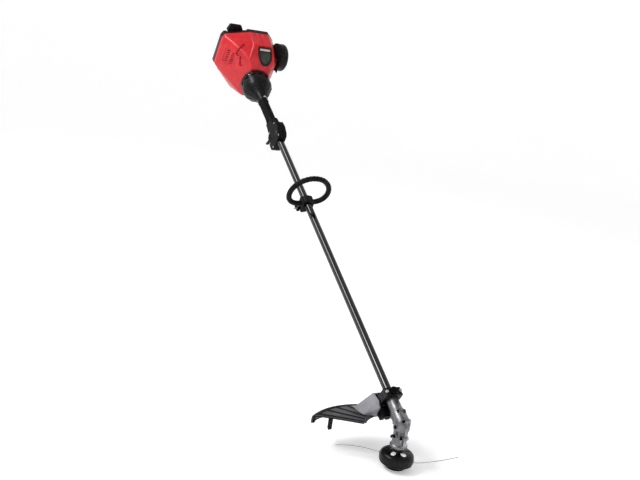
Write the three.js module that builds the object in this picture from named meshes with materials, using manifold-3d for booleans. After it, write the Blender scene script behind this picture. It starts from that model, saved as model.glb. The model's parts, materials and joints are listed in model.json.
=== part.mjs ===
// Petrol brush cutter with a straight boom: engine, throttle grip, D-handle, guard and line head.
// Millimetres, +Z up, +X forwards, +Y to the operator's left. The origin is the middle of the rear grip,
// and the machine is posed as it is held in use, with the line head level.

import * as THREE from 'three';
import { ConvexGeometry } from 'three/addons/geometries/ConvexGeometry.js';
import { mergeVertices } from 'three/addons/utils/BufferGeometryUtils.js';
import Module from 'manifold-3d';

const wasm = await Module();
wasm.setup();

// ---- driving dimensions ------------------------------------------------------------------------

const GAP = 0.3; // clearance between pieces that touch
const HALF_TURN = Math.PI;
const QUARTER_TURN = Math.PI / 2;
const AXIS_X = new THREE.Vector3(1, 0, 0);
const AXIS_Y = new THREE.Vector3(0, 1, 0);
const AXIS_Z = new THREE.Vector3(0, 0, 1);
const BOOM_LEAN = THREE.MathUtils.degToRad(58); // boom axis from the vertical head axis

const BEND_HEIGHT = 132; // where the boom axis meets the head axis, above the ground
const TUBE_RADIUS = 12.7;
const TUBE_WALL = 1.5;
const TUBE_START = 45; // distances along the boom are measured from the bend
const TUBE_END = 1470;
const BORE_RADIUS = TUBE_RADIUS + GAP; // every hole that takes the tube or a bearing
const SHAFT_RADIUS = 3.5;

const D_HANDLE_AT = 878;
const THROTTLE_START = 1196;
const THROTTLE_END = 1314;
const GRIP_START = THROTTLE_END + 2;
const GRIP_END = 1428;
const ENGINE_AT = 1560; // front face of the engine shroud

const HEAD_RADIUS = 49;
const LINE_LEVEL = 30; // height of the line eyelets
const LINE_RADIUS = 1.2;
const EYELET_ANGLE = THREE.MathUtils.degToRad(40);

const PINION_TEETH = 14;
const GEAR_TEETH = 19;
const PINION_RADIUS = 10;

const CRANK_THROW = 13;
const BORE_SIZE = 34;
const CYLINDER_AT = 73; // cylinder axis behind the shroud's front face

const TANK_MIDDLE = -61; // height of the fuel tank's filler from the boom axis
const FILTER_HEIGHT = 72; // air filter axis above the boom axis
const FILTER_AT = 85; // air filter axis behind the shroud's front face
const PRIMER_RADIUS = 7;
const PRIMER_HEIGHT = 9;
const PRIMER_AT = 70;

// ---- finishes ----------------------------------------------------------------------------------

const FINISHES = {
  redShell: { color: 0xd0363a, roughness: 0.38, metalness: 0 },
  blackPlastic: { color: 0x17161a, roughness: 0.55, metalness: 0 },
  gripRubber: { color: 0x1a191b, roughness: 0.85, metalness: 0 },
  greyPlastic: { color: 0x77767d, roughness: 0.6, metalness: 0 },
  boomPaint: { color: 0x141416, roughness: 0.25, metalness: 0.3 },
  castAluminium: { color: 0x9c9da0, roughness: 0.45, metalness: 0.9 },
  steel: { color: 0xb0b0b4, roughness: 0.3, metalness: 1 },
  darkSteel: { color: 0x2b2b2e, roughness: 0.4, metalness: 0.9 },
  filterFoam: { color: 0x3a3a3c, roughness: 0.95, metalness: 0 },
  tankPlastic: { color: 0xd9d6cc, roughness: 0.5, metalness: 0 },
  ceramic: { color: 0xf0efe9, roughness: 0.2, metalness: 0 },
  nylonLine: { color: 0xb9bbb6, roughness: 0.4, metalness: 0 },
};

// ---- small tools -------------------------------------------------------------------------------

function addPart(parent, name, geometry, finish) {
  const mesh = new THREE.Mesh(geometry, new THREE.MeshStandardMaterial(FINISHES[finish]));
  mesh.name = name;
  parent.add(mesh);
  return mesh;
}

function toSolid(geometry) {
  const bare = geometry.clone();
  bare.deleteAttribute('normal');
  bare.deleteAttribute('uv');
  const welded = mergeVertices(bare, 1e-4);
  const corners = welded.index.array;
  const kept = [];
  for (let i = 0; i < corners.length; i += 3) {
    const [a, b, c] = [corners[i], corners[i + 1], corners[i + 2]];
    if (a !== b && b !== c && c !== a) kept.push(a, b, c);
  }
  const vertProperties = new Float32Array(welded.attributes.position.array);
  return new wasm.Manifold(new wasm.Mesh({ numProp: 3, vertProperties, triVerts: new Uint32Array(kept) }));
}

function toGeometry(solid) {
  const mesh = solid.getMesh();
  const geometry = new THREE.BufferGeometry();
  geometry.setAttribute('position', new THREE.BufferAttribute(new Float32Array(mesh.vertProperties), 3));
  geometry.setIndex(new THREE.BufferAttribute(new Uint32Array(mesh.triVerts), 1));
  return geometry;
}

function join(first, ...others) {
  return toGeometry(others.reduce((sum, other) => sum.add(toSolid(other)), toSolid(first)));
}

function cut(first, ...others) {
  return toGeometry(others.reduce((rest, other) => rest.subtract(toSolid(other)), toSolid(first)));
}

function common(first, ...others) {
  return toGeometry(others.reduce((rest, other) => rest.intersect(toSolid(other)), toSolid(first)));
}

// A body of revolution about Z from a [radius, height] profile that starts and ends on the axis.
function turned(profile, sides = 18) {
  const points = profile.map(([radius, height]) => new THREE.Vector2(radius, height));
  return new THREE.LatheGeometry(points, sides).rotateX(QUARTER_TURN);
}

function rod(radius, low, high, sides = 16) {
  return turned([[0, low], [radius, low], [radius, high], [0, high]], sides);
}

function ring(inner, outer, low, high, sides = 18) {
  return turned([[inner, low], [outer, low], [outer, high], [inner, high], [inner, low]], sides);
}

// Turns a body made about Z so that its axis points along +X or +Y.
function alongX(geometry) {
  return geometry.rotateY(QUARTER_TURN);
}

function alongY(geometry) {
  return geometry.rotateX(-QUARTER_TURN);
}

function block(x, y, z) {
  const [lowX, highX] = x;
  const [lowY, highY] = y;
  const [lowZ, highZ] = z;
  const box = new THREE.BoxGeometry(highX - lowX, highY - lowY, highZ - lowZ);
  return box.translate((lowX + highX) / 2, (lowY + highY) / 2, (lowZ + highZ) / 2);
}

function outline(points) {
  return new THREE.Shape(points.map(([x, y]) => new THREE.Vector2(x, y)));
}

// A plate whose outline is drawn in X and Y and which runs from low to high in Z.
function plate(points, low, high) {
  const depth = high - low;
  return new THREE.ExtrudeGeometry(outline(points), { depth, bevelEnabled: false }).translate(0, 0, low);
}

// A plate seen from the side: its outline is drawn as [along the boom, above the boom], and it
// runs from low to high across the boom.
function sidePlate(points, low, high) {
  const turn = new THREE.Matrix4().makeBasis(AXIS_Z, AXIS_X, AXIS_Y);
  return plate(points, low, high).applyMatrix4(turn);
}

// A plate seen from above: its outline is drawn as [across the boom, along the boom].
function planPlate(points, low, high) {
  const turn = new THREE.Matrix4().makeBasis(AXIS_Y, AXIS_Z, AXIS_X);
  return plate(points, low, high).applyMatrix4(turn);
}

// A tube of the given section radius along a smooth curve through the points.
function bentRod(points, radius, sides, steps) {
  const curve = new THREE.CatmullRomCurve3(points.map(([x, y, z]) => new THREE.Vector3(x, y, z)));
  const section = [];
  for (let i = 0; i < sides; i++) {
    const angle = (i / sides) * 2 * HALF_TURN;
    section.push([radius * Math.cos(angle), radius * Math.sin(angle)]);
  }
  return new THREE.ExtrudeGeometry(outline(section), { steps, bevelEnabled: false, extrudePath: curve });
}

// ---- frames ------------------------------------------------------------------------------------

const machine = new THREE.Group();

// Head frame: +Z up the head axis, its origin on the ground.
const head = new THREE.Group();

// Boom frame: +Z up the boom towards the engine, +X to the boom's upper side, its origin at the bend.
const boom = new THREE.Group();
boom.position.set(0, 0, BEND_HEIGHT);
boom.rotation.y = -BOOM_LEAN;

// Engine frame: the boom frame moved up to the front face of the engine shroud.
const engine = new THREE.Group();
engine.position.z = ENGINE_AT;

const gripMiddle = (GRIP_START + GRIP_END) / 2;
machine.position.set(
  gripMiddle * Math.sin(BOOM_LEAN),
  0,
  -(BEND_HEIGHT + gripMiddle * Math.cos(BOOM_LEAN)),
);
boom.add(engine);
machine.add(head, boom);

// Carries a body made in the boom frame over to the head frame.
function lean(geometry) {
  return geometry.rotateY(-BOOM_LEAN).translate(0, 0, BEND_HEIGHT);
}

// ---- gearbox -----------------------------------------------------------------------------------

// A straight bevel gear about Z whose cone's tip is at the origin. The teeth stand off the cone's
// surface, and the first tooth's middle points along firstTooth.
function bevelGear({ teeth, coneAngle, coneLength, face, hubRadius, hubEnd, firstTooth }) {
  const tipHeight = 0.5;
  const rootDepth = 1;
  const cosine = Math.cos(coneAngle);
  const sine = Math.sin(coneAngle);
  const inner = coneLength - face;
  const backRadius = coneLength * sine - 2;
  const backHeight = coneLength * cosine + 3;
  const profile = [
    [0, inner * cosine + 1],
    [inner * sine, inner * cosine],
    [coneLength * sine, coneLength * cosine],
    [backRadius, backHeight],
    [hubRadius, backHeight],
    [hubRadius, hubEnd],
    [0, hubEnd],
  ];
  const points = profile.map(([radius, height]) => new THREE.Vector2(radius, height));
  const gear = new THREE.LatheGeometry(points, teeth * 4);
  const position = gear.attributes.position;
  for (let station = 0; station <= teeth * 4; station++) {
    const lift = station % 4 < 2 ? tipHeight : -rootDepth;
    const angle = (station / (teeth * 4)) * 2 * HALF_TURN;
    for (const [corner, share] of [[1, inner / coneLength], [2, 1]]) {
      const radius = profile[corner][0] + lift * share * cosine;
      const height = profile[corner][1] - lift * share * sine;
      const vertex = station * profile.length + corner;
      position.setXYZ(vertex, radius * Math.sin(angle), height, radius * Math.cos(angle));
    }
  }
  const toothPitch = (2 * HALF_TURN) / teeth;
  return gear.rotateX(QUARTER_TURN).rotateZ(firstTooth + QUARTER_TURN - toothPitch / 8);
}

const GEARBOX_BASE = 64; // height of the gearbox's lower end
const NECK_END = 106; // upper end of the gearbox neck, along the boom
const shaftAngle = HALF_TURN - BOOM_LEAN;
const teethRatio = GEAR_TEETH / PINION_TEETH;
const pinionCone = Math.atan2(Math.sin(shaftAngle), Math.cos(shaftAngle) + teethRatio);
const gearCone = shaftAngle - pinionCone;
const coneLength = PINION_RADIUS / Math.sin(pinionCone);

function gearboxShell() {
  const barrel = turned([
    [0, GEARBOX_BASE],
    [25, GEARBOX_BASE],
    [25, GEARBOX_BASE + 7],
    [20.5, GEARBOX_BASE + 10],
    [20.5, BEND_HEIGHT - 22],
    [23.5, BEND_HEIGHT - 16],
    [23.5, BEND_HEIGHT],
    [0, BEND_HEIGHT],
  ], 22);
  const neck = turned([
    [0, 0],
    [23, 0],
    [23, 34],
    [18.5, 44],
    [18.5, NECK_END],
    [0, NECK_END],
  ], 22);
  const elbow = new THREE.SphereGeometry(24, 20, 12).translate(0, 0, BEND_HEIGHT);
  const spindleBore = rod(BORE_RADIUS, GEARBOX_BASE + 5, BEND_HEIGHT - 6, 20);
  const mouth = rod(9, GEARBOX_BASE - 5, GEARBOX_BASE + 6, 20);
  const gearRoom = rod(16.5, BEND_HEIGHT - 13.5, BEND_HEIGHT + 4, 18);
  const tubeBore = rod(BORE_RADIUS, 1, NECK_END + 5, 20);
  return cut(join(barrel, lean(neck), elbow), spindleBore, mouth, gearRoom, lean(tubeBore));
}

function addGearbox() {
  const shell = gearboxShell();
  const low = -400;
  const high = 400;
  const leftSide = block([low, high], [GAP / 2, high], [low, high]);
  const rightSide = block([low, high], [low, -GAP / 2], [low, high]);
  addPart(head, 'gearbox_half_left', common(shell, leftSide), 'castAluminium');
  addPart(head, 'gearbox_half_right', common(shell, rightSide), 'castAluminium');

  const pinionHub = 19;
  addPart(boom, 'pinion_gear', bevelGear({
    teeth: PINION_TEETH,
    coneAngle: pinionCone,
    coneLength,
    face: 5,
    hubRadius: 6,
    hubEnd: 34,
    firstTooth: HALF_TURN,
  }), 'steel');
  addPart(boom, 'pinion_bearing', ring(6 + GAP, TUBE_RADIUS, pinionHub + 2, pinionHub + 12), 'steel');

  const gear = bevelGear({
    teeth: GEAR_TEETH,
    coneAngle: gearCone,
    coneLength,
    face: 5,
    hubRadius: 9,
    hubEnd: 11,
    firstTooth: HALF_TURN + HALF_TURN / GEAR_TEETH,
  });
  addPart(head, 'output_gear', gear.rotateX(HALF_TURN).translate(0, 0, BEND_HEIGHT), 'steel');
  addPart(head, 'spindle_bearing_upper', ring(6 + GAP, TUBE_RADIUS, 106, 115), 'steel');
  addPart(head, 'spindle_bearing_lower', ring(6 + GAP, TUBE_RADIUS, 71, 80), 'steel');
}

// ---- line head ---------------------------------------------------------------------------------

function addSpindle() {
  const top = BEND_HEIGHT - 11 - GAP;
  addPart(head, 'spindle', turned([
    [0, 49],
    [6, 49],
    [6, 57.4],
    [15, 57.4],
    [15, 61],
    [6, 61],
    [6, top],
    [0, top],
  ], 20), 'darkSteel');
}

function headHousing() {
  const cup = turned([
    [44.5, 22],
    [47.5, 22],
    [HEAD_RADIUS, 25],
    [HEAD_RADIUS, 38],
    [46, 44],
    [38, 49],
    [18, 51],
    [16, 57],
    [6.3, 57],
    [6.3, 48],
    [37, 46],
    [43, 41],
    [44.5, 36],
    [44.5, 22],
  ], 28);
  const eyeletHole = alongX(rod(4.3, -60, 60, 12)).rotateZ(EYELET_ANGLE).translate(0, 0, LINE_LEVEL);
  return cut(cup, eyeletHole);
}

function eyelet(angle) {
  const sleeve = turned([
    [1.8, 42],
    [4, 42],
    [4, HEAD_RADIUS + 0.5],
    [5.5, HEAD_RADIUS + 0.5],
    [5, HEAD_RADIUS + 2],
    [1.8, HEAD_RADIUS + 2],
    [1.8, 42],
  ], 10);
  return alongX(sleeve).rotateZ(angle).translate(0, 0, LINE_LEVEL);
}

// Line left free beyond each eyelet, in head coordinates. Both ends curl the same way round the head.
const LINE_A_ROUTE = [
  [-39.8, -33.4, 30], [-46.5, -39.5, 30.2], [-52.8, -45.9, 30.5], [-58.9, -52.6, 30.7], [-64.6, -59.6, 30.9],
  [-70.0, -66.9, 31.1], [-75.0, -74.4, 31.3], [-79.7, -82.2, 31.4], [-84.0, -90.1, 31.5], [-87.9, -98.3, 31.5],
  [-91.4, -106.6, 31.5], [-94.5, -115.1, 31.4], [-97.2, -123.7, 31.3], [-99.5, -132.5, 31.2], [-101.4, -141.3, 31],
];
const LINE_B_ROUTE = [
  [39.8, 33.4, 30], [46.2, 39.2, 32.2], [52.2, 45.3, 35], [58, 51.7, 37.9], [63.4, 58.4, 40.8],
  [68.5, 65.3, 43.7], [73.3, 72.5, 46.5], [77.8, 79.9, 49.3], [81.9, 87.5, 52], [85.6, 95.3, 54.7],
  [88.9, 103.2, 57.3], [91.9, 111.3, 59.8], [94.5, 119.5, 62.2], [96.7, 127.9, 64.5], [98.5, 136.3, 66.7],
];

function addHead() {
  addPart(head, 'head_housing', headHousing(), 'blackPlastic');
  addPart(head, 'head_lid', ring(22.3, 47, 16.3, 21.7, 24), 'blackPlastic');
  addPart(head, 'line_spool', turned([
    [23, 22.2],
    [40, 22.2],
    [40, 24.5],
    [30, 25.5],
    [30, 39],
    [40, 40],
    [40, 42.3],
    [23, 42.3],
    [23, 22.2],
  ], 20), 'greyPlastic');
  addPart(head, 'bump_knob', turned([
    [0, 0],
    [26, 0],
    [30, 3],
    [30, 7],
    [28, 8],
    [21.5, 8],
    [21.5, 26],
    [0, 26],
  ], 24), 'blackPlastic');

  const springTurns = 3;
  const stationsPerTurn = 7;
  const springRoute = [];
  for (let i = 0; i <= springTurns * stationsPerTurn; i++) {
    const angle = (i / stationsPerTurn) * 2 * HALF_TURN;
    const height = 27.6 + (18 * i) / (springTurns * stationsPerTurn);
    springRoute.push([9 * Math.cos(angle), 9 * Math.sin(angle), height]);
  }
  addPart(head, 'bump_spring', bentRod(springRoute, 1, 5, springRoute.length - 1), 'steel');

  addPart(head, 'line_eyelet_a', eyelet(EYELET_ANGLE + HALF_TURN), 'steel');
  addPart(head, 'line_eyelet_b', eyelet(EYELET_ANGLE), 'steel');
  addPart(head, 'line_a', bentRod(LINE_A_ROUTE, LINE_RADIUS, 8, 18), 'nylonLine');
  addPart(head, 'line_b', bentRod(LINE_B_ROUTE, LINE_RADIUS, 8, 18), 'nylonLine');
}

// ---- guard -------------------------------------------------------------------------------------

const RIM_CIRCLE = 202;
const RIM_OFFSET = 70;

// Rim of the guard: a circle that is offset sideways from the head axis. The angle is measured
// from straight behind the head towards the operator's right.
function guardRim(angle) {
  const smallest = 186;
  const side = RIM_OFFSET * Math.sin(angle);
  const depth = Math.sqrt(RIM_CIRCLE ** 2 - RIM_OFFSET ** 2 + side ** 2);
  return Math.max(smallest, side + depth);
}

// Radius and height of the guard's outer surface at an angle. Along goes from 0 at the inner edge
// over the roof to the rim, and down the skirt to 1 at the lower edge.
function guardPoint(angle, along, inset) {
  const roofShare = 0.76;
  const innerRadius = 98;
  const innerHeight = 113;
  const rimHeight = 105;
  const wing = THREE.MathUtils.smoothstep(angle, THREE.MathUtils.degToRad(14), THREE.MathUtils.degToRad(46));
  const skirtDepth = THREE.MathUtils.lerp(40, 28, wing);
  const rim = guardRim(angle) - inset;
  if (along <= roofShare) {
    const share = along / roofShare;
    return [
      THREE.MathUtils.lerp(innerRadius, rim, share),
      THREE.MathUtils.lerp(innerHeight, rimHeight, share) - inset,
    ];
  }
  const drop = (along - roofShare) / (1 - roofShare);
  return [rim, THREE.MathUtils.lerp(rimHeight - inset, rimHeight - skirtDepth, drop)];
}

function guardSheet() {
  const rightEnd = THREE.MathUtils.degToRad(52);
  const leftEnd = THREE.MathUtils.degToRad(-26);
  const thickness = 3;
  const sheet = new THREE.BoxGeometry(1, 1, 1, 16, 5, 1);
  const position = sheet.attributes.position;
  for (let i = 0; i < position.count; i++) {
    const angle = THREE.MathUtils.lerp(rightEnd, leftEnd, position.getX(i) + 0.5);
    const inset = position.getZ(i) > 0 ? 0 : thickness;
    const stations = [0, 0.25, 0.5, 0.76, 0.88, 1];
    const along = stations[Math.round((position.getY(i) + 0.5) * 5)];
    const [radius, height] = guardPoint(angle, along, inset);
    position.setXYZ(i, -radius * Math.cos(angle), -radius * Math.sin(angle), height);
  }
  return sheet;
}

// The guard's clamp: a block round the gearbox neck with a foot that carries the guard.
function clampBlock(clearance) {
  const grown = (low, high) => [low - clearance, high + clearance];
  return join(
    block(grown(-26, 24), grown(-28, 28), grown(78, 104)),
    block(grown(-34, -20), grown(-24, 24), grown(78, 116)),
  );
}

// The riser that carries the guard's roof up to its clamp, drawn as [forwards, up].
function guardRiser() {
  return plate([
    [-76, 146],
    [-98, 110],
    [-165, 106.5],
    [-132, 130],
    [-118, 175],
    [-84, 165],
  ], -20, 34).rotateX(QUARTER_TURN);
}

function addGuard() {
  const guard = cut(join(guardSheet(), guardRiser()), lean(clampBlock(GAP)));
  addPart(head, 'guard', guard, 'greyPlastic');
  const neckHole = rod(18.8, 50, 120, 28);
  addPart(boom, 'guard_clamp', cut(clampBlock(0), neckHole), 'greyPlastic');

  const bladeAngle = THREE.MathUtils.degToRad(12.5);
  const blade = planPlate([[-8.5, 30], [4, 30], [8.5, 38], [8.5, 96], [-8.5, 96]], -2, 0)
    .translate(RIM_CIRCLE - 3.6, 0, 0)
    .rotateZ(HALF_TURN + bladeAngle)
    .translate(0, -RIM_OFFSET, 0);
  addPart(head, 'line_cutter_blade', blade, 'darkSteel');
}

// ---- boom and D-handle -------------------------------------------------------------------------

function addBoom() {
  addPart(boom, 'boom_tube', ring(TUBE_RADIUS - TUBE_WALL, TUBE_RADIUS, TUBE_START, TUBE_END, 24), 'boomPaint');
  addPart(boom, 'drive_shaft', rod(SHAFT_RADIUS, 34 + GAP, 1477, 12), 'darkSteel');
  const bushOuter = TUBE_RADIUS - TUBE_WALL - GAP;
  addPart(boom, 'shaft_bush_lower', ring(SHAFT_RADIUS + GAP, bushOuter, 300, 330, 14), 'blackPlastic');
  addPart(boom, 'shaft_bush_upper', ring(SHAFT_RADIUS + GAP, bushOuter, 1000, 1030, 14), 'blackPlastic');
}

const BOLT_BELOW = -25; // height of the clamp bolt from the boom axis

function dHandle() {
  const loop = bentRod([
    [0, 16, 0],
    [0, 34, 0],
    [8, 54, 0],
    [26, 68, 0],
    [50, 71, 0],
    [76, 62, 0],
    [100, 38, 0],
    [110, 0, 0],
    [100, -38, 0],
    [76, -62, 0],
    [50, -71, 0],
    [26, -68, 0],
    [8, -54, 0],
    [0, -34, 0],
    [0, -16, 0],
  ], 9.5, 8, 32);
  const foot = block([-33, 17], [-22, 22], [-14, 14]);
  const boltHole = alongY(rod(3.3, -40, 40, 10)).translate(BOLT_BELOW, 0, 0);
  const slot = block([-45, -9], [-4, 4], [-20, 20]);
  return cut(join(loop, foot), rod(BORE_RADIUS, -20, 20, 20), boltHole, slot);
}

function wingNut() {
  const nut = rod(6, 0, 7, 6);
  const wing = block([-12.5, 12.5], [-1.6, 1.6], [3, 13]);
  const notch = rod(5.4, 7, 14, 12);
  return cut(join(nut, cut(wing, notch)), rod(3.3, -1, 15, 12));
}

function addDHandle() {
  const frame = new THREE.Group();
  frame.position.z = D_HANDLE_AT;
  frame.rotation.z = THREE.MathUtils.degToRad(-10);
  boom.add(frame);
  addPart(frame, 'd_handle', dHandle(), 'gripRubber');
  const spacerHole = alongY(rod(3.3, -40, 40, 10)).translate(BOLT_BELOW, 0, 0);
  addPart(frame, 'clamp_spacer', cut(block([-32, -15], [-3.7, 3.7], [-13, 13]), spacerHole), 'blackPlastic');
  const bolt = join(rod(3, -42, 23, 10), rod(7, 22.3, 27, 6));
  addPart(frame, 'clamp_bolt', alongY(bolt).translate(BOLT_BELOW, 0, 0), 'steel');
  const nut = wingNut().rotateZ(QUARTER_TURN).rotateX(HALF_TURN).translate(0, 0, -22.3);
  addPart(frame, 'wing_nut', alongY(nut).translate(BOLT_BELOW, 0, 0), 'blackPlastic');
}

// ---- throttle grip -----------------------------------------------------------------------------

const THROTTLE_OUTLINE = [
  [THROTTLE_START, -22],
  [THROTTLE_START + 2, -40],
  [THROTTLE_START + 10, -50],
  [THROTTLE_START + 30, -50],
  [THROTTLE_START + 66, -40],
  [THROTTLE_START + 76, -26],
  [THROTTLE_END, -19],
  [THROTTLE_END, 19],
  [THROTTLE_START + 78, 22],
  [THROTTLE_START + 68, 40],
  [THROTTLE_START + 38, 43],
  [THROTTLE_START + 6, 33],
  [THROTTLE_START, 22],
];

function addThrottle() {
  const halfWidth = 16;
  const body = sidePlate(THROTTLE_OUTLINE, -halfWidth, halfWidth);
  const triggerSlot = block([-60, -15], [-5, 5], [THROTTLE_START + 12, THROTTLE_START + 92]);
  const lockoutSlot = block([20, 60], [-5, 5], [THROTTLE_START + 14, THROTTLE_START + 62]);
  const switchPocket = block([20, 34], [-20, -10], [THROTTLE_START + 12, THROTTLE_START + 34]);
  const tubeBore = rod(BORE_RADIUS, THROTTLE_START - 5, THROTTLE_END + 5, 20);
  const shell = cut(body, triggerSlot, lockoutSlot, switchPocket, tubeBore);
  const leftSide = block([-100, 100], [GAP / 2, 50], [THROTTLE_START - 10, THROTTLE_END + 10]);
  const rightSide = block([-100, 100], [-50, -GAP / 2], [THROTTLE_START - 10, THROTTLE_END + 10]);
  addPart(boom, 'throttle_housing_left', common(shell, leftSide), 'blackPlastic');
  addPart(boom, 'throttle_housing_right', common(shell, rightSide), 'blackPlastic');

  const trigger = sidePlate([
    [THROTTLE_START + 16, -24],
    [THROTTLE_START + 20, -40],
    [THROTTLE_START + 48, -54],
    [THROTTLE_START + 68, -62],
    [THROTTLE_START + 82, -84],
    [THROTTLE_START + 89, -84],
    [THROTTLE_START + 80, -58],
    [THROTTLE_START + 62, -44],
    [THROTTLE_START + 40, -34],
    [THROTTLE_START + 28, -22],
  ], -4, 4);
  addPart(boom, 'throttle_trigger', trigger, 'blackPlastic');

  const lockout = sidePlate([
    [THROTTLE_START + 18, 30],
    [THROTTLE_START + 58, 30],
    [THROTTLE_START + 58, 46],
    [THROTTLE_START + 44, 48],
    [THROTTLE_START + 18, 38],
  ], -4, 4);
  addPart(boom, 'lockout_lever', lockout, 'blackPlastic');

  const rocker = block([21, 33], [-19, -11], [THROTTLE_START + 13, THROTTLE_START + 33]);
  addPart(boom, 'stop_switch', rocker, 'blackPlastic');

  addPart(boom, 'rear_grip', turned([
    [BORE_RADIUS, GRIP_START],
    [20, GRIP_START],
    [20, GRIP_START + 4],
    [18.5, GRIP_START + 7],
    [18.5, GRIP_END - 7],
    [20.5, GRIP_END - 4],
    [20.5, GRIP_END],
    [BORE_RADIUS, GRIP_END],
    [BORE_RADIUS, GRIP_START],
  ], 18), 'gripRubber');
}

// ---- clutch and crank --------------------------------------------------------------------------

function clutchHousing() {
  return turned([
    [BORE_RADIUS, -130],
    [20, -130],
    [22, -112],
    [28, -92],
    [44, -72],
    [56, -54],
    [58, -40],
    [58, -4],
    [53, -4],
    [53, -40],
    [51, -52],
    [42, -68],
    [24, -86],
    [BORE_RADIUS, -91],
    [BORE_RADIUS, -130],
  ], 28);
}

function clutchDrum() {
  return turned([
    [0, -82.7],
    [9, -82.7],
    [9, -66],
    [38, -66],
    [38, -32],
    [35.5, -32],
    [35.5, -63],
    [0, -63],
  ], 24);
}

// Clutch rotor: a hub and two curved shoes in one plate, seen along the crank axis.
function clutchRotor() {
  const outer = rod(33.5, -60, -36, 20);
  const middleGap = 3;
  const slits = [
    block([8, 40], [-middleGap, middleGap], [-70, -30]),
    block([-40, -8], [-middleGap, middleGap], [-70, -30]),
    block([-24, 16], [16, 18], [-70, -30]),
    block([-16, 24], [-18, -16], [-70, -30]),
  ];
  return cut(outer, ...slits, rod(6 + GAP, -70, -30, 16));
}

function crankshaft() {
  const main = rod(6, -60, 54, 16);
  const web = plate([
    [CRANK_THROW + 7, -5],
    [CRANK_THROW + 7, 5],
    [3, 12],
    [-6, 19],
    [-18, 9],
    [-18, -9],
    [-6, -19],
    [3, -12],
  ], 52, 60);
  const pin = rod(4, 58, 68, 12).translate(CRANK_THROW, 0, 0);
  return join(main, web, pin);
}

function crankcase() {
  const body = block([-31, 33.7], [-31, 31], [37, 102]);
  const room = rod(26, 45, 95, 20);
  const top = alongX(rod(17, 0, 40, 18)).translate(0, 0, CYLINDER_AT);
  return cut(body, room, top, rod(6 + GAP, 30, 50, 16));
}

function cylinder() {
  const finCount = 5;
  const finPitch = 8.5;
  const profile = [[BORE_SIZE / 2, 34], [26, 34], [26, 39], [21, 40]];
  for (let i = 0; i < finCount; i++) {
    const low = 43 + i * finPitch;
    profile.push([21, low], [31, low], [31, low + 2.2], [21, low + 2.2]);
  }
  profile.push([21, 85], [12, 88], [5.3, 88], [5.3, 81], [BORE_SIZE / 2, 79.5], [BORE_SIZE / 2, 34]);
  return alongX(turned(profile, 18)).translate(0, 0, CYLINDER_AT);
}

function addPiston() {
  const skirtRadius = BORE_SIZE / 2 - GAP;
  const piston = turned([
    [14, 53],
    [skirtRadius, 53],
    [skirtRadius, 77],
    [0, 77],
    [0, 73],
    [14, 73],
    [14, 53],
  ], 18);
  addPart(engine, 'piston', alongX(piston).translate(0, 0, CYLINDER_AT), 'castAluminium');

  const smallEnd = 64;
  const bigEndHole = rod(4.5, -10, 10, 12).translate(CRANK_THROW, 0, 0);
  const pinHole = rod(3.8, -10, 10, 12).translate(smallEnd, 0, 0);
  const rodBody = join(
    rod(7.5, -3.5, 3.5, 14).translate(CRANK_THROW, 0, 0),
    block([CRANK_THROW + 5, smallEnd - 5], [-4, 4], [-3, 3]),
    rod(6.5, -3.5, 3.5, 12).translate(smallEnd, 0, 0),
  );
  const connectingRod = cut(rodBody, bigEndHole, pinHole).translate(0, 0, CYLINDER_AT);
  addPart(engine, 'connecting_rod', connectingRod, 'steel');
  const pin = rod(3.5, CYLINDER_AT - 11, CYLINDER_AT + 11, 12).translate(smallEnd, 0, 0);
  addPart(engine, 'piston_pin', pin, 'steel');
}

function addPowerUnit() {
  addPart(engine, 'clutch_housing', clutchHousing(), 'blackPlastic');
  addPart(engine, 'clutch_drum', clutchDrum(), 'steel');
  addPart(engine, 'clutch_rotor', clutchRotor(), 'darkSteel');
  addPart(engine, 'crankshaft', crankshaft(), 'steel');
  addPart(engine, 'flywheel', turned([
    [6 + GAP, 15],
    [14, 15],
    [18, 20],
    [42, 20],
    [42, 34],
    [6 + GAP, 34],
    [6 + GAP, 15],
  ], 20), 'castAluminium');
  addPart(engine, 'crankcase', crankcase(), 'castAluminium');
  addPart(engine, 'cylinder', cylinder(), 'castAluminium');
  addPiston();
  addPart(engine, 'spark_plug', alongX(turned([
    [0, 82],
    [4.8, 82],
    [4.8, 88.3],
    [8.5, 88.3],
    [8.5, 94],
    [5, 96],
    [4.5, 107],
    [0, 107],
  ], 12)).translate(0, 0, CYLINDER_AT), 'ceramic');
  addPart(engine, 'plug_boot', alongX(turned([
    [5.5, 97],
    [8.5, 97],
    [8.5, 112],
    [0, 114],
    [0, 108],
    [5.5, 107.5],
    [5.5, 97],
  ], 16)).translate(0, 0, CYLINDER_AT), 'gripRubber');
  addPart(engine, 'ignition_module', block([-66, -43], [-18, 18], [16, 34]), 'blackPlastic');
  addPart(engine, 'muffler', block([26, 84], [-76, -36], [74, 126]), 'darkSteel');
}

// ---- fuel and air ------------------------------------------------------------------------------

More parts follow.
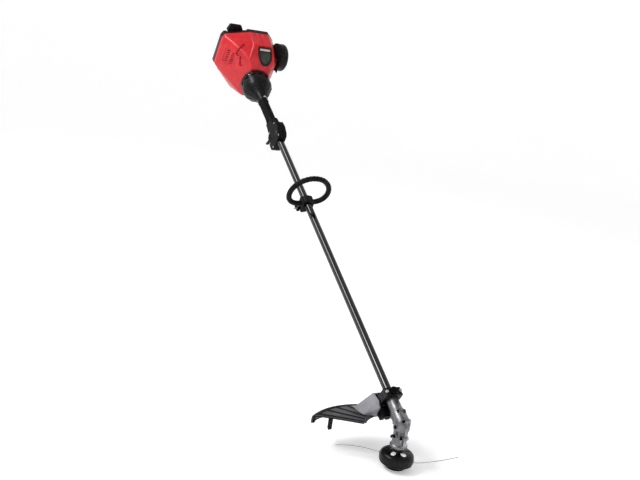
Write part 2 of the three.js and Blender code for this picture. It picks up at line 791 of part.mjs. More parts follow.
function addFuelAndAir() {
  const throat = alongY(rod(7, 20, 110, 14)).translate(57, 0, 80);
  const carburetor = cut(block([38, 77], [35, 89.7], [62, 100]), throat);
  addPart(engine, 'carburetor', carburetor, 'castAluminium');

  const filterFrame = (geometry) => alongY(geometry).translate(FILTER_HEIGHT, 0, FILTER_AT);
  const base = filterFrame(rod(54, 90, 96, 24));
  addPart(engine, 'air_filter_base', cut(base, throat), 'blackPlastic');
  addPart(engine, 'air_filter_element', filterFrame(ring(30, 44, 96.3, 116, 20)), 'filterFoam');
  addPart(engine, 'air_filter_cover', filterFrame(turned([
    [50, 96.3],
    [54, 96.3],
    [54, 118],
    [48, 128],
    [0, 132],
    [0, 128],
    [45, 124],
    [50, 116],
    [50, 96.3],
  ], 28)), 'blackPlastic');

  const lever = join(
    alongY(rod(7, 85, 89.6, 14)).translate(44, 0, 46),
    alongY(rod(4, 82.2, 87, 12)).translate(44, 0, 46),
    block([40, 48], [85, 89.6], [22, 46]),
  );
  addPart(engine, 'choke_lever', lever, 'blackPlastic');
  addPart(engine, 'primer_bulb', alongY(turned([
    [0, 78],
    [PRIMER_RADIUS, 78],
    [PRIMER_RADIUS, 88],
    [5.5, 91],
    [3, 93],
    [0, 93.5],
  ], 14)).translate(PRIMER_HEIGHT, 0, PRIMER_AT), 'gripRubber');

  const tank = block([-80, -42], [-52, 34], [60, 138]);
  const neck = alongY(rod(11, 30, 59.7, 16)).translate(TANK_MIDDLE, 0, 100);
  addPart(engine, 'fuel_tank', join(tank, neck), 'tankPlastic');
  addPart(engine, 'fuel_cap', alongY(turned([
    [0, 60],
    [14, 60],
    [14, 69],
    [11, 72],
    [0, 72],
  ], 18)).translate(TANK_MIDDLE, 0, 100), 'blackPlastic');
}

// ---- covers ------------------------------------------------------------------------------------

// The smallest rounded-out body holding all the points.
function hullOf(points) {
  return new ConvexGeometry(points.map(([x, y, z]) => new THREE.Vector3(x, y, z)));
}

// Outline of the engine cover seen along the boom, as [above the boom, across the boom].
const COVER_OUTLINE = [
  [-26, -128],
  [-88, -58],
  [-84, 36],
  [-42, 62],
  [4, 80],
  [106, 84],
  [131, 58],
  [131, -22],
  [108, -120],
  [92, -128],
];
const COVER_MIDDLE = [10, -15];

// The cover outline grown or shrunk about its middle.
function coverOutline(scale) {
  return COVER_OUTLINE.map(([above, across]) => [
    COVER_MIDDLE[0] + (above - COVER_MIDDLE[0]) * scale,
    COVER_MIDDLE[1] + (across - COVER_MIDDLE[1]) * scale,
  ]);
}

// Corners of the engine cover ahead of its rim, as [above the boom, across it, behind the front face].
const COVER_CORNERS = [
  [58, -32, 0],
  [58, 48, 0],
  [-72, 48, 0],
  [-72, -32, 0],
  [90, -42, 22],
  [88, 62, 26],
  [8, 81.8, 36],
  [70, 81.8, 36],
  [-88, -58, 72],
  [-88, 4, 58],
  [-84, 36, 60],
  [124, -22, 66],
  [120, 58, 66],
];
const RIM_FRONT = 128; // where the cover's rim starts, behind its front face
const RIM_BACK = 145;

// The cover's body: all its corners under one skin. The inset shrinks it about its middle.
function shroudBody(inset) {
  const scale = 1 - inset * 0.01;
  const corners = [...COVER_CORNERS];
  for (const [above, across] of COVER_OUTLINE) {
    corners.push([above, across, RIM_FRONT], [above, across, RIM_BACK]);
  }
  return hullOf(corners.map(([above, across, along]) => [
    COVER_MIDDLE[0] + (above - COVER_MIDDLE[0]) * scale,
    COVER_MIDDLE[1] + (across - COVER_MIDDLE[1]) * scale,
    along + inset * 1.4,
  ]));
}

function engineShroud() {
  const wall = 3;
  const crankHole = rod(30, -5, 10, 24);
  const carburetorHole = block([34, 81], [70, 100], [58, 104]);
  const capHole = alongY(rod(13, 20, 110, 16)).translate(TANK_MIDDLE, 0, 100);
  const primerHole = alongY(rod(PRIMER_RADIUS + 2 * GAP, 60, 110, 14)).translate(PRIMER_HEIGHT, 0, PRIMER_AT);
  return cut(shroudBody(0), shroudBody(wall), crankHole, carburetorHole, capHole, primerHole);
}

function addCovers() {
  addPart(engine, 'engine_shroud', engineShroud(), 'redShell');

  const seam = RIM_BACK + GAP;
  const rim = 164;
  const back = 182;
  const wall = 4;
  const shell = join(
    plate(coverOutline(1.01), seam, rim),
    plate(coverOutline(0.86), rim - 1, back),
    rod(66, back - 10, 200, 28),
  );
  const room = join(
    plate(coverOutline(0.96), seam - 5, rim - wall),
    plate(coverOutline(0.8), seam - 5, back - wall),
  );
  const handlePocket = block([100, 160], [-110, -30], [158, 210]);
  const post = rod(5, 150, back, 16);
  addPart(engine, 'starter_housing', join(cut(shell, room, handlePocket), post), 'blackPlastic');
  addPart(engine, 'starter_pulley', ring(5 + GAP, 36, 154, 166, 24), 'greyPlastic');

  const grip = hullOf([
    [108, -106, 162], [108, -34, 162], [108, -106, 184], [108, -34, 184],
    [137, -98, 164], [137, -52, 164], [137, -98, 182], [137, -52, 182],
  ]);
  const stem = alongX(rod(5, 102, 118, 12)).translate(0, -70, 172);
  addPart(engine, 'starter_handle', join(grip, stem), 'blackPlastic');
}

addGearbox();
addSpindle();
addHead();
addGuard();
addBoom();
addDHandle();
addThrottle();
addPowerUnit();
addFuelAndAir();
addCovers();

export default machine;
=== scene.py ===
"""Brush cutter: the visual model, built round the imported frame. Metres, in the CAD model's own frame."""
import json
from math import cos, degrees, pi, radians, sin, sqrt

import bmesh
import bpy
from mathutils import Matrix, Vector


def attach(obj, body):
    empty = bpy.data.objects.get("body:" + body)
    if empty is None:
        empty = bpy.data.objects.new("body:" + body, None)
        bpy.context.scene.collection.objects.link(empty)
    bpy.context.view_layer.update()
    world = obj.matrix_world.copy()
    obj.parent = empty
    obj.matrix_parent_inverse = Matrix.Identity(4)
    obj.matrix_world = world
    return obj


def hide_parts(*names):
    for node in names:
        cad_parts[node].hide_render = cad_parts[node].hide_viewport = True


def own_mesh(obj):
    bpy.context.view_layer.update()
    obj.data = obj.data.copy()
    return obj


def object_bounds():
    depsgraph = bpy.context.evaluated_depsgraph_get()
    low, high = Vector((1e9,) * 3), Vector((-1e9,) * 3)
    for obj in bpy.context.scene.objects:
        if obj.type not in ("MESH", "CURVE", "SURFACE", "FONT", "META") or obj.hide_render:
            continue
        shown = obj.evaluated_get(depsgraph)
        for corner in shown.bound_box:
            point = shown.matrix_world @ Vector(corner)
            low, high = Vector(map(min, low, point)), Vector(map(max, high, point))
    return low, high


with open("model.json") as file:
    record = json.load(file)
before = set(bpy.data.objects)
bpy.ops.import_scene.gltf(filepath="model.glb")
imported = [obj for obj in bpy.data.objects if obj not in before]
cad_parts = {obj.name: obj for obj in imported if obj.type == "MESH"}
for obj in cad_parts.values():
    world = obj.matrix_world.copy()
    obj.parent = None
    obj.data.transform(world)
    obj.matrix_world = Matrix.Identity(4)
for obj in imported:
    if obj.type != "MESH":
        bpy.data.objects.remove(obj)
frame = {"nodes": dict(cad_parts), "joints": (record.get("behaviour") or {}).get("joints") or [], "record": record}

cad_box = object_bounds()
MM = 0.001
FULL = 2 * pi
NODES = frame["nodes"]
JOINTS = {joint["name"]: joint for joint in frame["joints"]}
SPOTS = {mount["name"]: Vector(mount["pos_m"]) for mount in frame["record"]["mounts"]}

# ---- frames ------------------------------------------------------------------------------------
# Shapes are drawn in millimetres. HEAD: origin on the ground under the line head, +Z up.
# BOOM: origin at the bend, +Z up the boom, +X to its upper side. ENGINE: BOOM moved up to the cover.

KNOB = SPOTS["bump_knob_face"]
ALONG = Vector(JOINTS["drive_spin"]["axis"]).normalized()
ACROSS = Vector((0, 1, 0))
ABOVE = ACROSS.cross(ALONG)
BEND = ALONG * (KNOB.x / ALONG.x)
ENGINE_AT = 1560
HANDLE_AT = 878
HEAD = Matrix.Translation(KNOB) @ Matrix.Scale(MM, 4)
BOOM = Matrix.Translation(BEND) @ Matrix((ABOVE, ACROSS, ALONG)).transposed().to_4x4() @ Matrix.Scale(MM, 4)
ENGINE = BOOM @ Matrix.Translation((0, 0, ENGINE_AT))
LOOP = BOOM @ Matrix.Translation((0, 0, HANDLE_AT)) @ Matrix.Rotation(radians(-10), 4, "Z")
TO_BOOM = BOOM.inverted() @ HEAD


def shift(x=0, y=0, z=0):
    return Matrix.Translation((x, y, z))


def turn(angle, axis):
    return Matrix.Rotation(radians(angle), 4, axis)


FACING_LEFT = turn(-90, "X")  # turns a shape's +Z to +Y
FACING_RIGHT = turn(90, "X")  # to -Y
FACING_UP = turn(90, "Y")  # to +X


def placed(name, data):
    piece = bpy.data.objects.new(name, data)
    bpy.context.scene.collection.objects.link(piece)
    return piece


# ---- camera, floor and light -------------------------------------------------------------------

CAMERA_AT = KNOB + Vector((1.688, -1.270, 1.071))
CAMERA_AZIMUTH, CAMERA_PITCH, CAMERA_ROLL = 61.1, 12.3, 8.0
SENSOR_WIDTH, FOCAL_LENGTH = 36, 45.5625
BACKDROP_STRENGTH, FLOOR_GLOW = 0.55, 0.26
STRIP_LENGTH, STRIP_WIDTH = 2.9, 0.7
STRIP_UP = ALONG * 1.35  # moves the strip light up beside the middle of the boom
FLOOR_RADIUS, COVE, WALL_HEIGHT = 9.0, 4.0, 9.0
FLOOR_DROP = 0.0005


def add_camera():
    azimuth, pitch, roll = (radians(angle) for angle in (CAMERA_AZIMUTH, CAMERA_PITCH, CAMERA_ROLL))
    flat = cos(pitch)
    forward = Vector((-sin(azimuth) * flat, cos(azimuth) * flat, -sin(pitch)))
    right = Vector((cos(azimuth), sin(azimuth), 0))
    up = right.cross(forward)
    side = right * cos(roll) + up * sin(roll)
    top = up * cos(roll) - right * sin(roll)
    data = bpy.data.cameras.new("view")
    data.sensor_width = SENSOR_WIDTH
    data.lens = FOCAL_LENGTH
    data.clip_end = 100
    camera = placed("view", data)
    camera.matrix_world = Matrix((side, top, -forward)).transposed().to_4x4()
    camera.matrix_world.translation = CAMERA_AT
    bpy.context.scene.camera = camera


def new_lamp(name, shape, length, width, watts):
    data = bpy.data.lights.new(name, "AREA")
    data.shape = shape
    data.size, data.size_y = length, width
    data.energy = watts
    return placed(name, data)


def add_key(place, target, size, watts):
    lamp = new_lamp("key", "DISK", size, size, watts)
    lamp.location = place
    lamp.rotation_euler = (target - place).to_track_quat("-Z", "Y").to_euler()


def add_strip(place, target, watts):
    """A long light that lies along the boom, for the bright line on its paint."""
    lamp = new_lamp("strip", "RECTANGLE", STRIP_LENGTH, STRIP_WIDTH, watts)
    back = (place - target).normalized()
    side = (ALONG - back * ALONG.dot(back)).normalized()
    lamp.matrix_world = Matrix((side, back.cross(side), back)).transposed().to_4x4()
    lamp.matrix_world.translation = place


def add_studio():
    bpy.context.scene.view_settings.view_transform = "Standard"
    world = bpy.data.worlds.new("studio")
    bpy.context.scene.world = world
    world.use_nodes = True
    backdrop = world.node_tree.nodes["Background"]
    backdrop.inputs["Color"].default_value = (1, 1, 1, 1)
    backdrop.inputs["Strength"].default_value = BACKDROP_STRENGTH
    middle = (cad_box[0] + cad_box[1]) / 2
    add_key(middle + Vector((0.3, -2.7, 2.4)), middle, 0.8, 20)
    add_strip(Vector((1.05, -1.8, 1.28)) + STRIP_UP, middle + Vector((0.1, 0, 0)) + STRIP_UP, 70)


def add_floor():
    """A pale round floor that curves up into a wall far behind, so that no edge of it shows."""
    profile = [(FLOOR_RADIUS * k / 12, 0.0) for k in range(13)]
    for k in range(1, 17):
        angle = radians(90 * k / 16)
        profile.append((FLOOR_RADIUS + COVE * sin(angle), COVE * (1 - cos(angle))))
    profile.append((FLOOR_RADIUS + COVE, WALL_HEIGHT))
    shape = lathe(profile, 96)
    for face in shape.faces:
        face.smooth = True
    floor = as_object("floor", shape)
    floor.location = KNOB - Vector((0, 0, FLOOR_DROP))
    floor.data.materials.append(LOOKS["floor"].material)


# ---- materials ---------------------------------------------------------------------------------

class Look:
    """A procedural material: two tones mixed by soft noise, uneven gloss and a fine surface grain."""

    def __init__(self, name, light, dark, rough, grain, bump, metal=0.0, patch=40, coat=0.0, specular=0.5):
        self.material = bpy.data.materials.new(name)
        self.material.use_nodes = True
        self.tree = self.material.node_tree
        self.shader = self.tree.nodes["Principled BSDF"]
        self.fill(self.shader, {"Metallic": metal, "Specular IOR Level": specular, "Coat Weight": coat,
                                "Coat Roughness": 0.08})
        self.place = self.node("ShaderNodeTexCoord").outputs["Object"]
        patches = self.noise(patch, 4)
        tone = self.node("ShaderNodeValToRGB")
        for stop, share, colour in zip(tone.color_ramp.elements, (0.3, 0.7), (dark, light)):
            stop.position = share
            stop.color = (*colour, 1)
        self.link(patches, tone.inputs["Fac"])
        self.colour = tone.outputs["Color"]
        gloss = self.node("ShaderNodeMapRange", {"To Min": rough[0], "To Max": rough[1]})
        self.link(self.noise(patch * 2.3, 3), gloss.inputs["Value"])
        self.link(gloss.outputs["Result"], self.shader.inputs["Roughness"])
        grains = self.node("ShaderNodeBump", {"Strength": bump, "Distance": 0.0004})
        self.link(self.noise(grain, 2), grains.inputs["Height"])
        self.link(grains.outputs["Normal"], self.shader.inputs["Normal"])
        self.link(self.colour, self.shader.inputs["Base Color"])

    def fill(self, node, values):
        for name, value in values.items():
            node.inputs[name].default_value = value

    def node(self, kind, values=()):
        made = self.tree.nodes.new(kind)
        self.fill(made, dict(values))
        return made

    def link(self, output, socket):
        self.tree.links.new(output, socket)

    def noise(self, scale, detail):
        noise = self.node("ShaderNodeTexNoise", {"Scale": scale, "Detail": detail})
        self.link(self.place, noise.inputs["Vector"])
        return noise.outputs["Fac"]

    def worn_edges(self, colour):
        """Rubs the sharp edges to a second colour, unevenly."""
        ramp = self.node("ShaderNodeMapRange", {"From Min": 0.52, "From Max": 0.62})
        self.link(self.node("ShaderNodeNewGeometry").outputs["Pointiness"], ramp.inputs["Value"])
        times = self.node("ShaderNodeMath")
        times.operation = "MULTIPLY"
        self.link(ramp.outputs["Result"], times.inputs[0])
        self.link(self.noise(60, 3), times.inputs[1])
        blend = self.node("ShaderNodeMix")
        blend.data_type = "RGBA"
        self.link(times.outputs["Value"], blend.inputs["Factor"])
        self.link(self.colour, blend.inputs["A"])
        blend.inputs["B"].default_value = (*colour, 1)
        self.link(blend.outputs["Result"], self.shader.inputs["Base Color"])


def make_looks():
    looks = {
        "red": Look("red_shell", (0.51, 0.01, 0.016), (0.37, 0.005, 0.01), (0.24, 0.34), 900, 0.12,
                    coat=0.12, specular=0.35),
        "black": Look("black_plastic", (0.004, 0.0022, 0.003), (0.002, 0.0012, 0.0016), (0.34, 0.5),
                      1500, 0.35, specular=0.04),
        "satin": Look("satin_black", (0.005, 0.005, 0.006), (0.0025, 0.0025, 0.003), (0.22, 0.34),
                      1200, 0.2, specular=0.17),
        "rubber": Look("grip_rubber", (0.005, 0.0032, 0.0036), (0.0025, 0.0016, 0.0018), (0.4, 0.6),
                       1800, 0.5, specular=0.1),
        "grey": Look("grey_plastic", (0.07, 0.07, 0.077), (0.024, 0.024, 0.028), (0.4, 0.55),
                     1400, 0.3, patch=9, specular=0.25),
        # plate: a lighter copy of the guard's grey, painted light for the lit top of the guard's roof and riser
        "plate": Look("painted_lit_grey", (0.27, 0.265, 0.29), (0.2, 0.2, 0.22), (0.35, 0.5),
                      1400, 0.3, specular=0.35),
        # glint tabs: near-white, painted highlights for two bright glints on the head's dome
        "glint_tab": Look("painted_glint_white", (0.82, 0.83, 0.85), (0.7, 0.71, 0.73), (0.08, 0.16),
                       1400, 0.1, coat=0.5),
        "boom": Look("boom_paint", (0.003, 0.0025, 0.003), (0.0015, 0.0013, 0.0016), (0.08, 0.12),
                     2200, 0.03, specular=0.6),
        "cast": Look("cast_aluminium", (0.2, 0.2, 0.207), (0.1, 0.1, 0.106), (0.25, 0.4),
                     1300, 0.6, metal=1.0),
        "steel": Look("steel", (0.62, 0.62, 0.63), (0.45, 0.45, 0.46), (0.22, 0.38), 2500, 0.2, metal=1.0),
        "dark": Look("dark_steel", (0.07, 0.07, 0.075), (0.035, 0.035, 0.04), (0.3, 0.5),
                     2000, 0.25, metal=0.9),
        "foam": Look("filter_foam", (0.06, 0.06, 0.065), (0.03, 0.03, 0.03), (0.85, 0.98), 900, 1.0),
        "tank": Look("tank_plastic", (0.72, 0.7, 0.64), (0.62, 0.6, 0.54), (0.35, 0.5), 700, 0.3),
        "ceramic": Look("ceramic", (0.86, 0.85, 0.82), (0.8, 0.79, 0.76), (0.1, 0.2), 1500, 0.05),
        "line": Look("nylon_line", (0.42, 0.43, 0.41), (0.3, 0.31, 0.3), (0.3, 0.45), 2500, 0.3),
        "panel": Look("badge_panel", (0.016, 0.017, 0.014), (0.008, 0.009, 0.008), (0.3, 0.4),
                      1500, 0.1, specular=0.15),
        "field": Look("badge_field", (0.036, 0.041, 0.034), (0.02, 0.023, 0.02), (0.3, 0.4),
                      1500, 0.1, specular=0.2),
        "strip": Look("badge_strip", (0.5, 0.36, 0.34), (0.4, 0.28, 0.27), (0.25, 0.35), 1500, 0.1),
        "floor": Look("floor", (0.93, 0.93, 0.93), (0.92, 0.92, 0.92), (0.8, 0.9), 200, 0.01,
                      patch=2, specular=0.1),
    }
    looks["cast"].worn_edges((0.6, 0.6, 0.61))
    looks["dark"].worn_edges((0.3, 0.3, 0.31))
    looks["black"].worn_edges((0.011, 0.01, 0.011))
    looks["rubber"].worn_edges((0.014, 0.013, 0.013))
    floor = looks["floor"]
    floor.fill(floor.shader, {"Emission Color": (1, 1, 1, 1), "Emission Strength": FLOOR_GLOW})
    return looks


LOOKS = make_looks()


# ---- mesh tools --------------------------------------------------------------------------------

def from_faces(points, faces):
    shape = bmesh.new()
    corners = [shape.verts.new(point) for point in points]
    for face in faces:
        shape.faces.new([corners[i] for i in face])
    return shape


def lathe(profile, sides=64):
    """A closed body of revolution about Z. A profile that leaves the axis is a ring."""
    points, rings = [], []
    for radius, height in profile:
        if radius < 1e-6:
            rings.append([len(points)])
            points.append((0, 0, height))
            continue
        rings.append(list(range(len(points), len(points) + sides)))
        for i in range(sides):
            angle = FULL * i / sides
            points.append((radius * cos(angle), radius * sin(angle), height))
    closed = profile[0][0] > 1e-6
    faces = []
    count = len(rings)
    for k in range(count if closed else count - 1):
        low, high = rings[k], rings[(k + 1) % count]
        if len(low) == len(high) == 1:
            continue
        for i in range(sides):
            j = (i + 1) % sides
            if len(low) == 1:
                faces.append((low[0], high[j], high[i]))
            elif len(high) == 1:
                faces.append((low[i], low[j], high[0]))
            else:
                faces.append((low[i], low[j], high[j], high[i]))
    return tidy(from_faces(points, faces))


def tidy(shape):
    bmesh.ops.recalc_face_normals(shape, faces=shape.faces)
    return shape


def rod(radius, low, high, sides=28):
    return lathe([(0, low), (radius, low), (radius, high), (0, high)], sides)


def prism(outline, low, high):
    count = len(outline)
    points = [(x, y, low) for x, y in outline] + [(x, y, high) for x, y in outline]
    faces = [tuple(range(count))[::-1], tuple(range(count, 2 * count))]
    faces += [(i, (i + 1) % count, count + (i + 1) % count, count + i) for i in range(count)]
    return tidy(from_faces(points, faces))


def slab(x, y, z):
    return prism([(x[0], y[0]), (x[1], y[0]), (x[1], y[1]), (x[0], y[1])], z[0], z[1])


def round_outline(width, height, corner, steps=6):
    outline = []
    for x, y, start in ((1, 1, 0), (-1, 1, 90), (-1, -1, 180), (1, -1, 270)):
        for k in range(steps + 1):
            angle = radians(start + 90 * k / steps)
            outline.append((x * (width / 2 - corner) + corner * cos(angle),
                            y * (height / 2 - corner) + corner * sin(angle)))
    return outline


def rounded(x, y, z, radius):
    """A block whose edges along Z are rounded."""
    outline = round_outline(x[1] - x[0], y[1] - y[0], radius, 4)
    return moved(prism(outline, z[0], z[1]), shift((x[0] + x[1]) / 2, (y[0] + y[1]) / 2))


def helix(radius, low, high, turns, steps):
    """Points on a helix round Z; a ring where low and high are the same."""
    points = []
    for k in range(steps + 1):
        angle = FULL * turns * k / steps
        points.append((radius * cos(angle), radius * sin(angle), low + (high - low) * k / steps))
    return points


def smooth_path(points, per_step):
    """Catmull-Rom points through the given points."""
    points = [Vector(p) for p in points]
    padded = [2 * points[0] - points[1]] + points + [2 * points[-1] - points[-2]]
    path = []
    for k in range(1, len(padded) - 2):
        a, b, c, e = padded[k - 1:k + 3]
        for i in range(per_step):
            t = i / per_step
            path.append(0.5 * (2 * b + (c - a) * t + (2 * a - 5 * b + 4 * c - e) * t * t
                               + (3 * b - a - 3 * c + e) * t ** 3))
    path.append(points[-1])
    return path


def sweep(path, radius, sides=16):
    """A tube along the path; radius is a number or a function of the share of the way along."""
    width = radius if callable(radius) else (lambda share: radius)
    path = [Vector(p) for p in path]
    last = len(path) - 1
    tangents = [(path[min(i + 1, last)] - path[max(i - 1, 0)]).normalized() for i in range(last + 1)]
    side = tangents[0].orthogonal().normalized()
    points, faces = [], []
    for i, (spot, tangent) in enumerate(zip(path, tangents)):
        side = (side - tangent * side.dot(tangent)).normalized()
        other = tangent.cross(side)
        size = width(i / last)
        for k in range(sides):
            angle = FULL * k / sides
            points.append(spot + (side * cos(angle) + other * sin(angle)) * size)
    for i in range(last):
        for k in range(sides):
            j = (k + 1) % sides
            faces.append((i * sides + k, i * sides + j, (i + 1) * sides + j, (i + 1) * sides + k))
    faces.append(tuple(range(sides))[::-1])
    faces.append(tuple(last * sides + k for k in range(sides)))
    return tidy(from_faces(points, faces))


def moved(shape, matrix):
    shape.transform(matrix)
    if matrix.determinant() < 0:
        bmesh.ops.reverse_faces(shape, faces=shape.faces)
    return shape


def around(count, make, start=0, where=Matrix()):
    """Equal shapes spaced evenly round Z, each set in its place before it is turned."""
    return [moved(make(), turn(360 * k / count + start, "Z") @ where) for k in range(count)]


def merged(*shapes):
    """Puts several closed bodies in one mesh, without joining their surfaces."""
    total = bmesh.new()
    for shape in shapes:
        mesh = bpy.data.meshes.new("part")
        shape.to_mesh(mesh)
        total.from_mesh(mesh)
        shape.free()
        bpy.data.meshes.remove(mesh)
    return total


def as_object(name, shape):
    mesh = bpy.data.meshes.new(name)
    shape.to_mesh(mesh)
    shape.free()
    return placed(name, mesh)


def applied(piece):
    """Turns a piece and its modifiers back into a shape."""
    bpy.context.view_layer.update()
    done = bpy.data.meshes.new_from_object(piece.evaluated_get(bpy.context.evaluated_depsgraph_get()))
    shape = bmesh.new()
    shape.from_mesh(done)
    old = piece.data
    bpy.data.objects.remove(piece)
    bpy.data.meshes.remove(old)
    bpy.data.meshes.remove(done)
    return shape


def combined(base, tools, operation):
    """A boolean of two shapes in the same frame."""
    body = as_object("body", base)
    tool = as_object("tool", tools)
    change = body.modifiers.new("cut", "BOOLEAN")
    change.operation = operation
    change.solver = "EXACT"
    change.use_self = True
    change.object = tool
    shape = applied(body)
    bpy.data.objects.remove(tool)
    bmesh.ops.remove_doubles(shape, verts=shape.verts, dist=0.0005)
    bmesh.ops.dissolve_limit(shape, angle_limit=0.005, verts=shape.verts, edges=shape.edges)
    return shape


def cut(base, *tools):
    for tool in tools:
        base = combined(base, tool, "DIFFERENCE")
    return base


def joined(base, *others):
    for other in others:
        base = combined(base, other, "UNION")
    return base


def walled(shape, thickness, even=False):
    """Gives an open surface a wall on its inner side."""
    sheet = as_object("sheet", shape)
    wall = sheet.modifiers.new("wall", "SOLIDIFY")
    wall.thickness = thickness
    wall.offset = -1
    wall.use_even_offset = even
    return applied(sheet)


def shade(piece, look, bevel, segments=2, angle=32):
    piece.data.materials.clear()
    piece.data.materials.append(LOOKS[look].material)
    piece.data.polygons.foreach_set("use_smooth", [True] * len(piece.data.polygons))
    piece.data.set_sharp_from_angle(angle=radians(angle))
    if bevel:
        edge = piece.modifiers.new("edges", "BEVEL")
        edge.width = bevel * MM
        edge.segments = segments
        edge.limit_method = "ANGLE"
        edge.angle_limit = radians(angle)
        edge.harden_normals = True
        edge.use_clamp_overlap = True
    return piece


def add(name, shape, where, look, bevel, body="frame", segments=2, angle=32, replaces=()):
    """Places a shape, drawn in millimetres, as a piece that rides on a body."""
    shape.transform(where)
    piece = as_object(name, shape)
    shade(piece, look, bevel, segments, angle)
    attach(piece, body)
    if replaces:
        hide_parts(*replaces)
    return piece


def add_row(name, make, places, where, look, bevel, body="frame"):
    """Equal numbered pieces, one at each place."""
    for k, place in enumerate(places):
        add("%s_%d" % (name, k), moved(make(), place), where, look, bevel, body)


def node_shape(name, where):
    """A CAD node's own shape, in the given frame, with its flat faces made whole."""
    shape = bmesh.new()
    shape.from_mesh(NODES[name].data)
    shape.transform(where.inverted())
    bmesh.ops.remove_doubles(shape, verts=shape.verts, dist=0.01)
    bmesh.ops.dissolve_limit(shape, angle_limit=radians(0.6), verts=shape.verts, edges=shape.edges)
    return tidy(shape)


def dress(look, bevel, *names, segments=2, angle=32):
    """Gives CAD nodes, whose shape is right, their finish and softened edges."""
    for name in names:
        shade(NODES[name], look, bevel, segments, angle)


def hull(points):
    shape = bmesh.new()
    for point in points:
        shape.verts.new(point)
    made = bmesh.ops.convex_hull(shape, input=shape.verts)
    inner = set(made["geom_interior"] + made["geom_unused"])
    spare = [item for item in inner if isinstance(item, bmesh.types.BMVert)]
    bmesh.ops.delete(shape, geom=spare, context="VERTS")
    bmesh.ops.dissolve_limit(shape, angle_limit=radians(1.0), verts=shape.verts, edges=shape.edges)
    return tidy(shape)


def hexagon(radius):
    return [(radius * cos(FULL * k / 6), radius * sin(FULL * k / 6)) for k in range(6)]


def roll_edges(shape, edges, radius):
    bmesh.ops.bevel(shape, geom=edges, offset=radius, segments=5, profile=0.5, affect="EDGES",
                    clamp_overlap=True)
    tidy(shape)


def screw(radius, length, socket="hex"):
    """A cap screw along +Z whose head stands on the plane z = 0, with its socket."""
    body = lathe([(0, 0), (radius, 0), (radius, radius * 0.75), (radius * 0.86, radius), (0, radius)], 28)
    if socket == "hex":
        hole = prism(hexagon(radius * 0.55), radius * 0.45, radius + 1)
    else:
        arm, reach, depth = radius * 0.16, radius * 0.6, (radius * 0.5, radius + 1)
        hole = merged(slab((-reach, reach), (-arm, arm), depth), slab((-arm, arm), (-reach, reach), depth))
    body = cut(body, hole)
    if length:
        body = merged(body, rod(radius * 0.5, -length, 0, 20))
    return body


def hex_bolt(radius):
    """A hexagon head on the plane z = 0 with a washer face."""
    head = prism(hexagon(radius), radius * 0.25, radius * 1.1)
    crown = lathe([(0, -1), (radius * 1.2, -1), (radius * 1.2, radius * 0.6), (radius * 0.8, radius * 1.12),
                   (0, radius * 1.12)], 28)
    washer = lathe([(0, 0), (radius * 1.25, 0), (radius * 1.25, radius * 0.2), (radius, radius * 0.32),
                    (0, radius * 0.32)], 28)
    return merged(combined(head, crown, "INTERSECT"), washer)


# ---- cords: the free trimmer lines -------------------------------------------------------------

LINE_DIAMETER = 0.0024
LINE_LEVEL = 30
EYELET_TURN = 40
LINE_A_ROUTE = [
    (-39.8, -33.4, 30), (-46.5, -39.5, 30.2), (-52.8, -45.9, 30.5), (-58.9, -52.6, 30.7),
    (-64.6, -59.6, 30.9), (-70.0, -66.9, 31.1), (-75.0, -74.4, 31.3), (-79.7, -82.2, 31.4),
    (-84.0, -90.1, 31.5), (-87.9, -98.3, 31.5), (-91.4, -106.6, 31.5), (-94.5, -115.1, 31.4),
    (-97.2, -123.7, 31.3), (-99.5, -132.5, 31.2), (-101.4, -141.3, 31),
]
LINE_B_ROUTE = [
    (39.8, 33.4, 30), (46.2, 39.2, 32.2), (52.2, 45.3, 35), (58, 51.7, 37.9), (63.4, 58.4, 40.8),
    (68.5, 65.3, 43.7), (73.3, 72.5, 46.5), (77.8, 79.9, 49.3), (81.9, 87.5, 52), (85.6, 95.3, 54.7),
    (88.9, 103.2, 57.3), (91.9, 111.3, 59.8), (94.5, 119.5, 62.2), (96.7, 127.9, 64.5), (98.5, 136.3, 66.7),
]


def add_line(name, node, route):
    path = [HEAD @ Vector(point) for point in route]
    curve = bpy.data.curves.new(name, "CURVE")
    curve.dimensions = "3D"
    curve.bevel_depth = LINE_DIAMETER / 2
    curve.bevel_resolution = 3
    curve.use_fill_caps = True
    spline = curve.splines.new("POLY")
    fine = smooth_path(path, 4)
    spline.points.add(len(fine) - 1)
    for point, place in zip(spline.points, fine):
        point.co = (*place, 1)
    piece = placed(name, curve)
    curve.materials.append(LOOKS["line"].material)
    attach(piece, "head")
    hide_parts(node)


# ---- line head ---------------------------------------------------------------------------------

# Outline of the two near-white tabs on the head's dome, which are painted highlights.
GLINT_TAB = [(20, -5), (28, -6.6), (35.5, -5), (36.5, 0), (35.5, 5), (28, 6.6), (20, 5), (19, 0)]


def head_cup():
    """The domed cup with lobed ribs over its shoulder."""
    cup = lathe([
        (44.5, 22), (47.2, 22), (48.8, 23.4), (49, 25), (49, 34), (48.6, 38), (47.4, 41.4), (45.4, 44.2),
        (42.6, 46.5), (38.6, 48.4), (33, 49.6), (22, 50.6), (18.6, 51), (17, 52.6), (16.2, 56), (15.4, 57),
        (6.3, 57), (6.3, 48), (34, 46.4), (40, 43.5), (43.4, 39.5), (44.5, 36),
    ], 112)
    bare = (EYELET_TURN, EYELET_TURN + 180)
    lobes = [turn(angle, "Z") for angle in range(EYELET_TURN, EYELET_TURN + 360, 30) if angle not in bare]
    cuts = [moved(slab((20, 47), (-2.2, 2.2), (47.6, 60)), lobe) for lobe in lobes]
    cuts += around(36, lambda: lathe([(0, 21), (1.3, 21), (1.3, 38), (0, 39.4)], 10), 5, shift(x=49.6))
    cuts += around(2, lambda: rod(4.3, 40, 60), EYELET_TURN, shift(z=LINE_LEVEL) @ FACING_UP)
    return cut(cup, merged(*cuts))


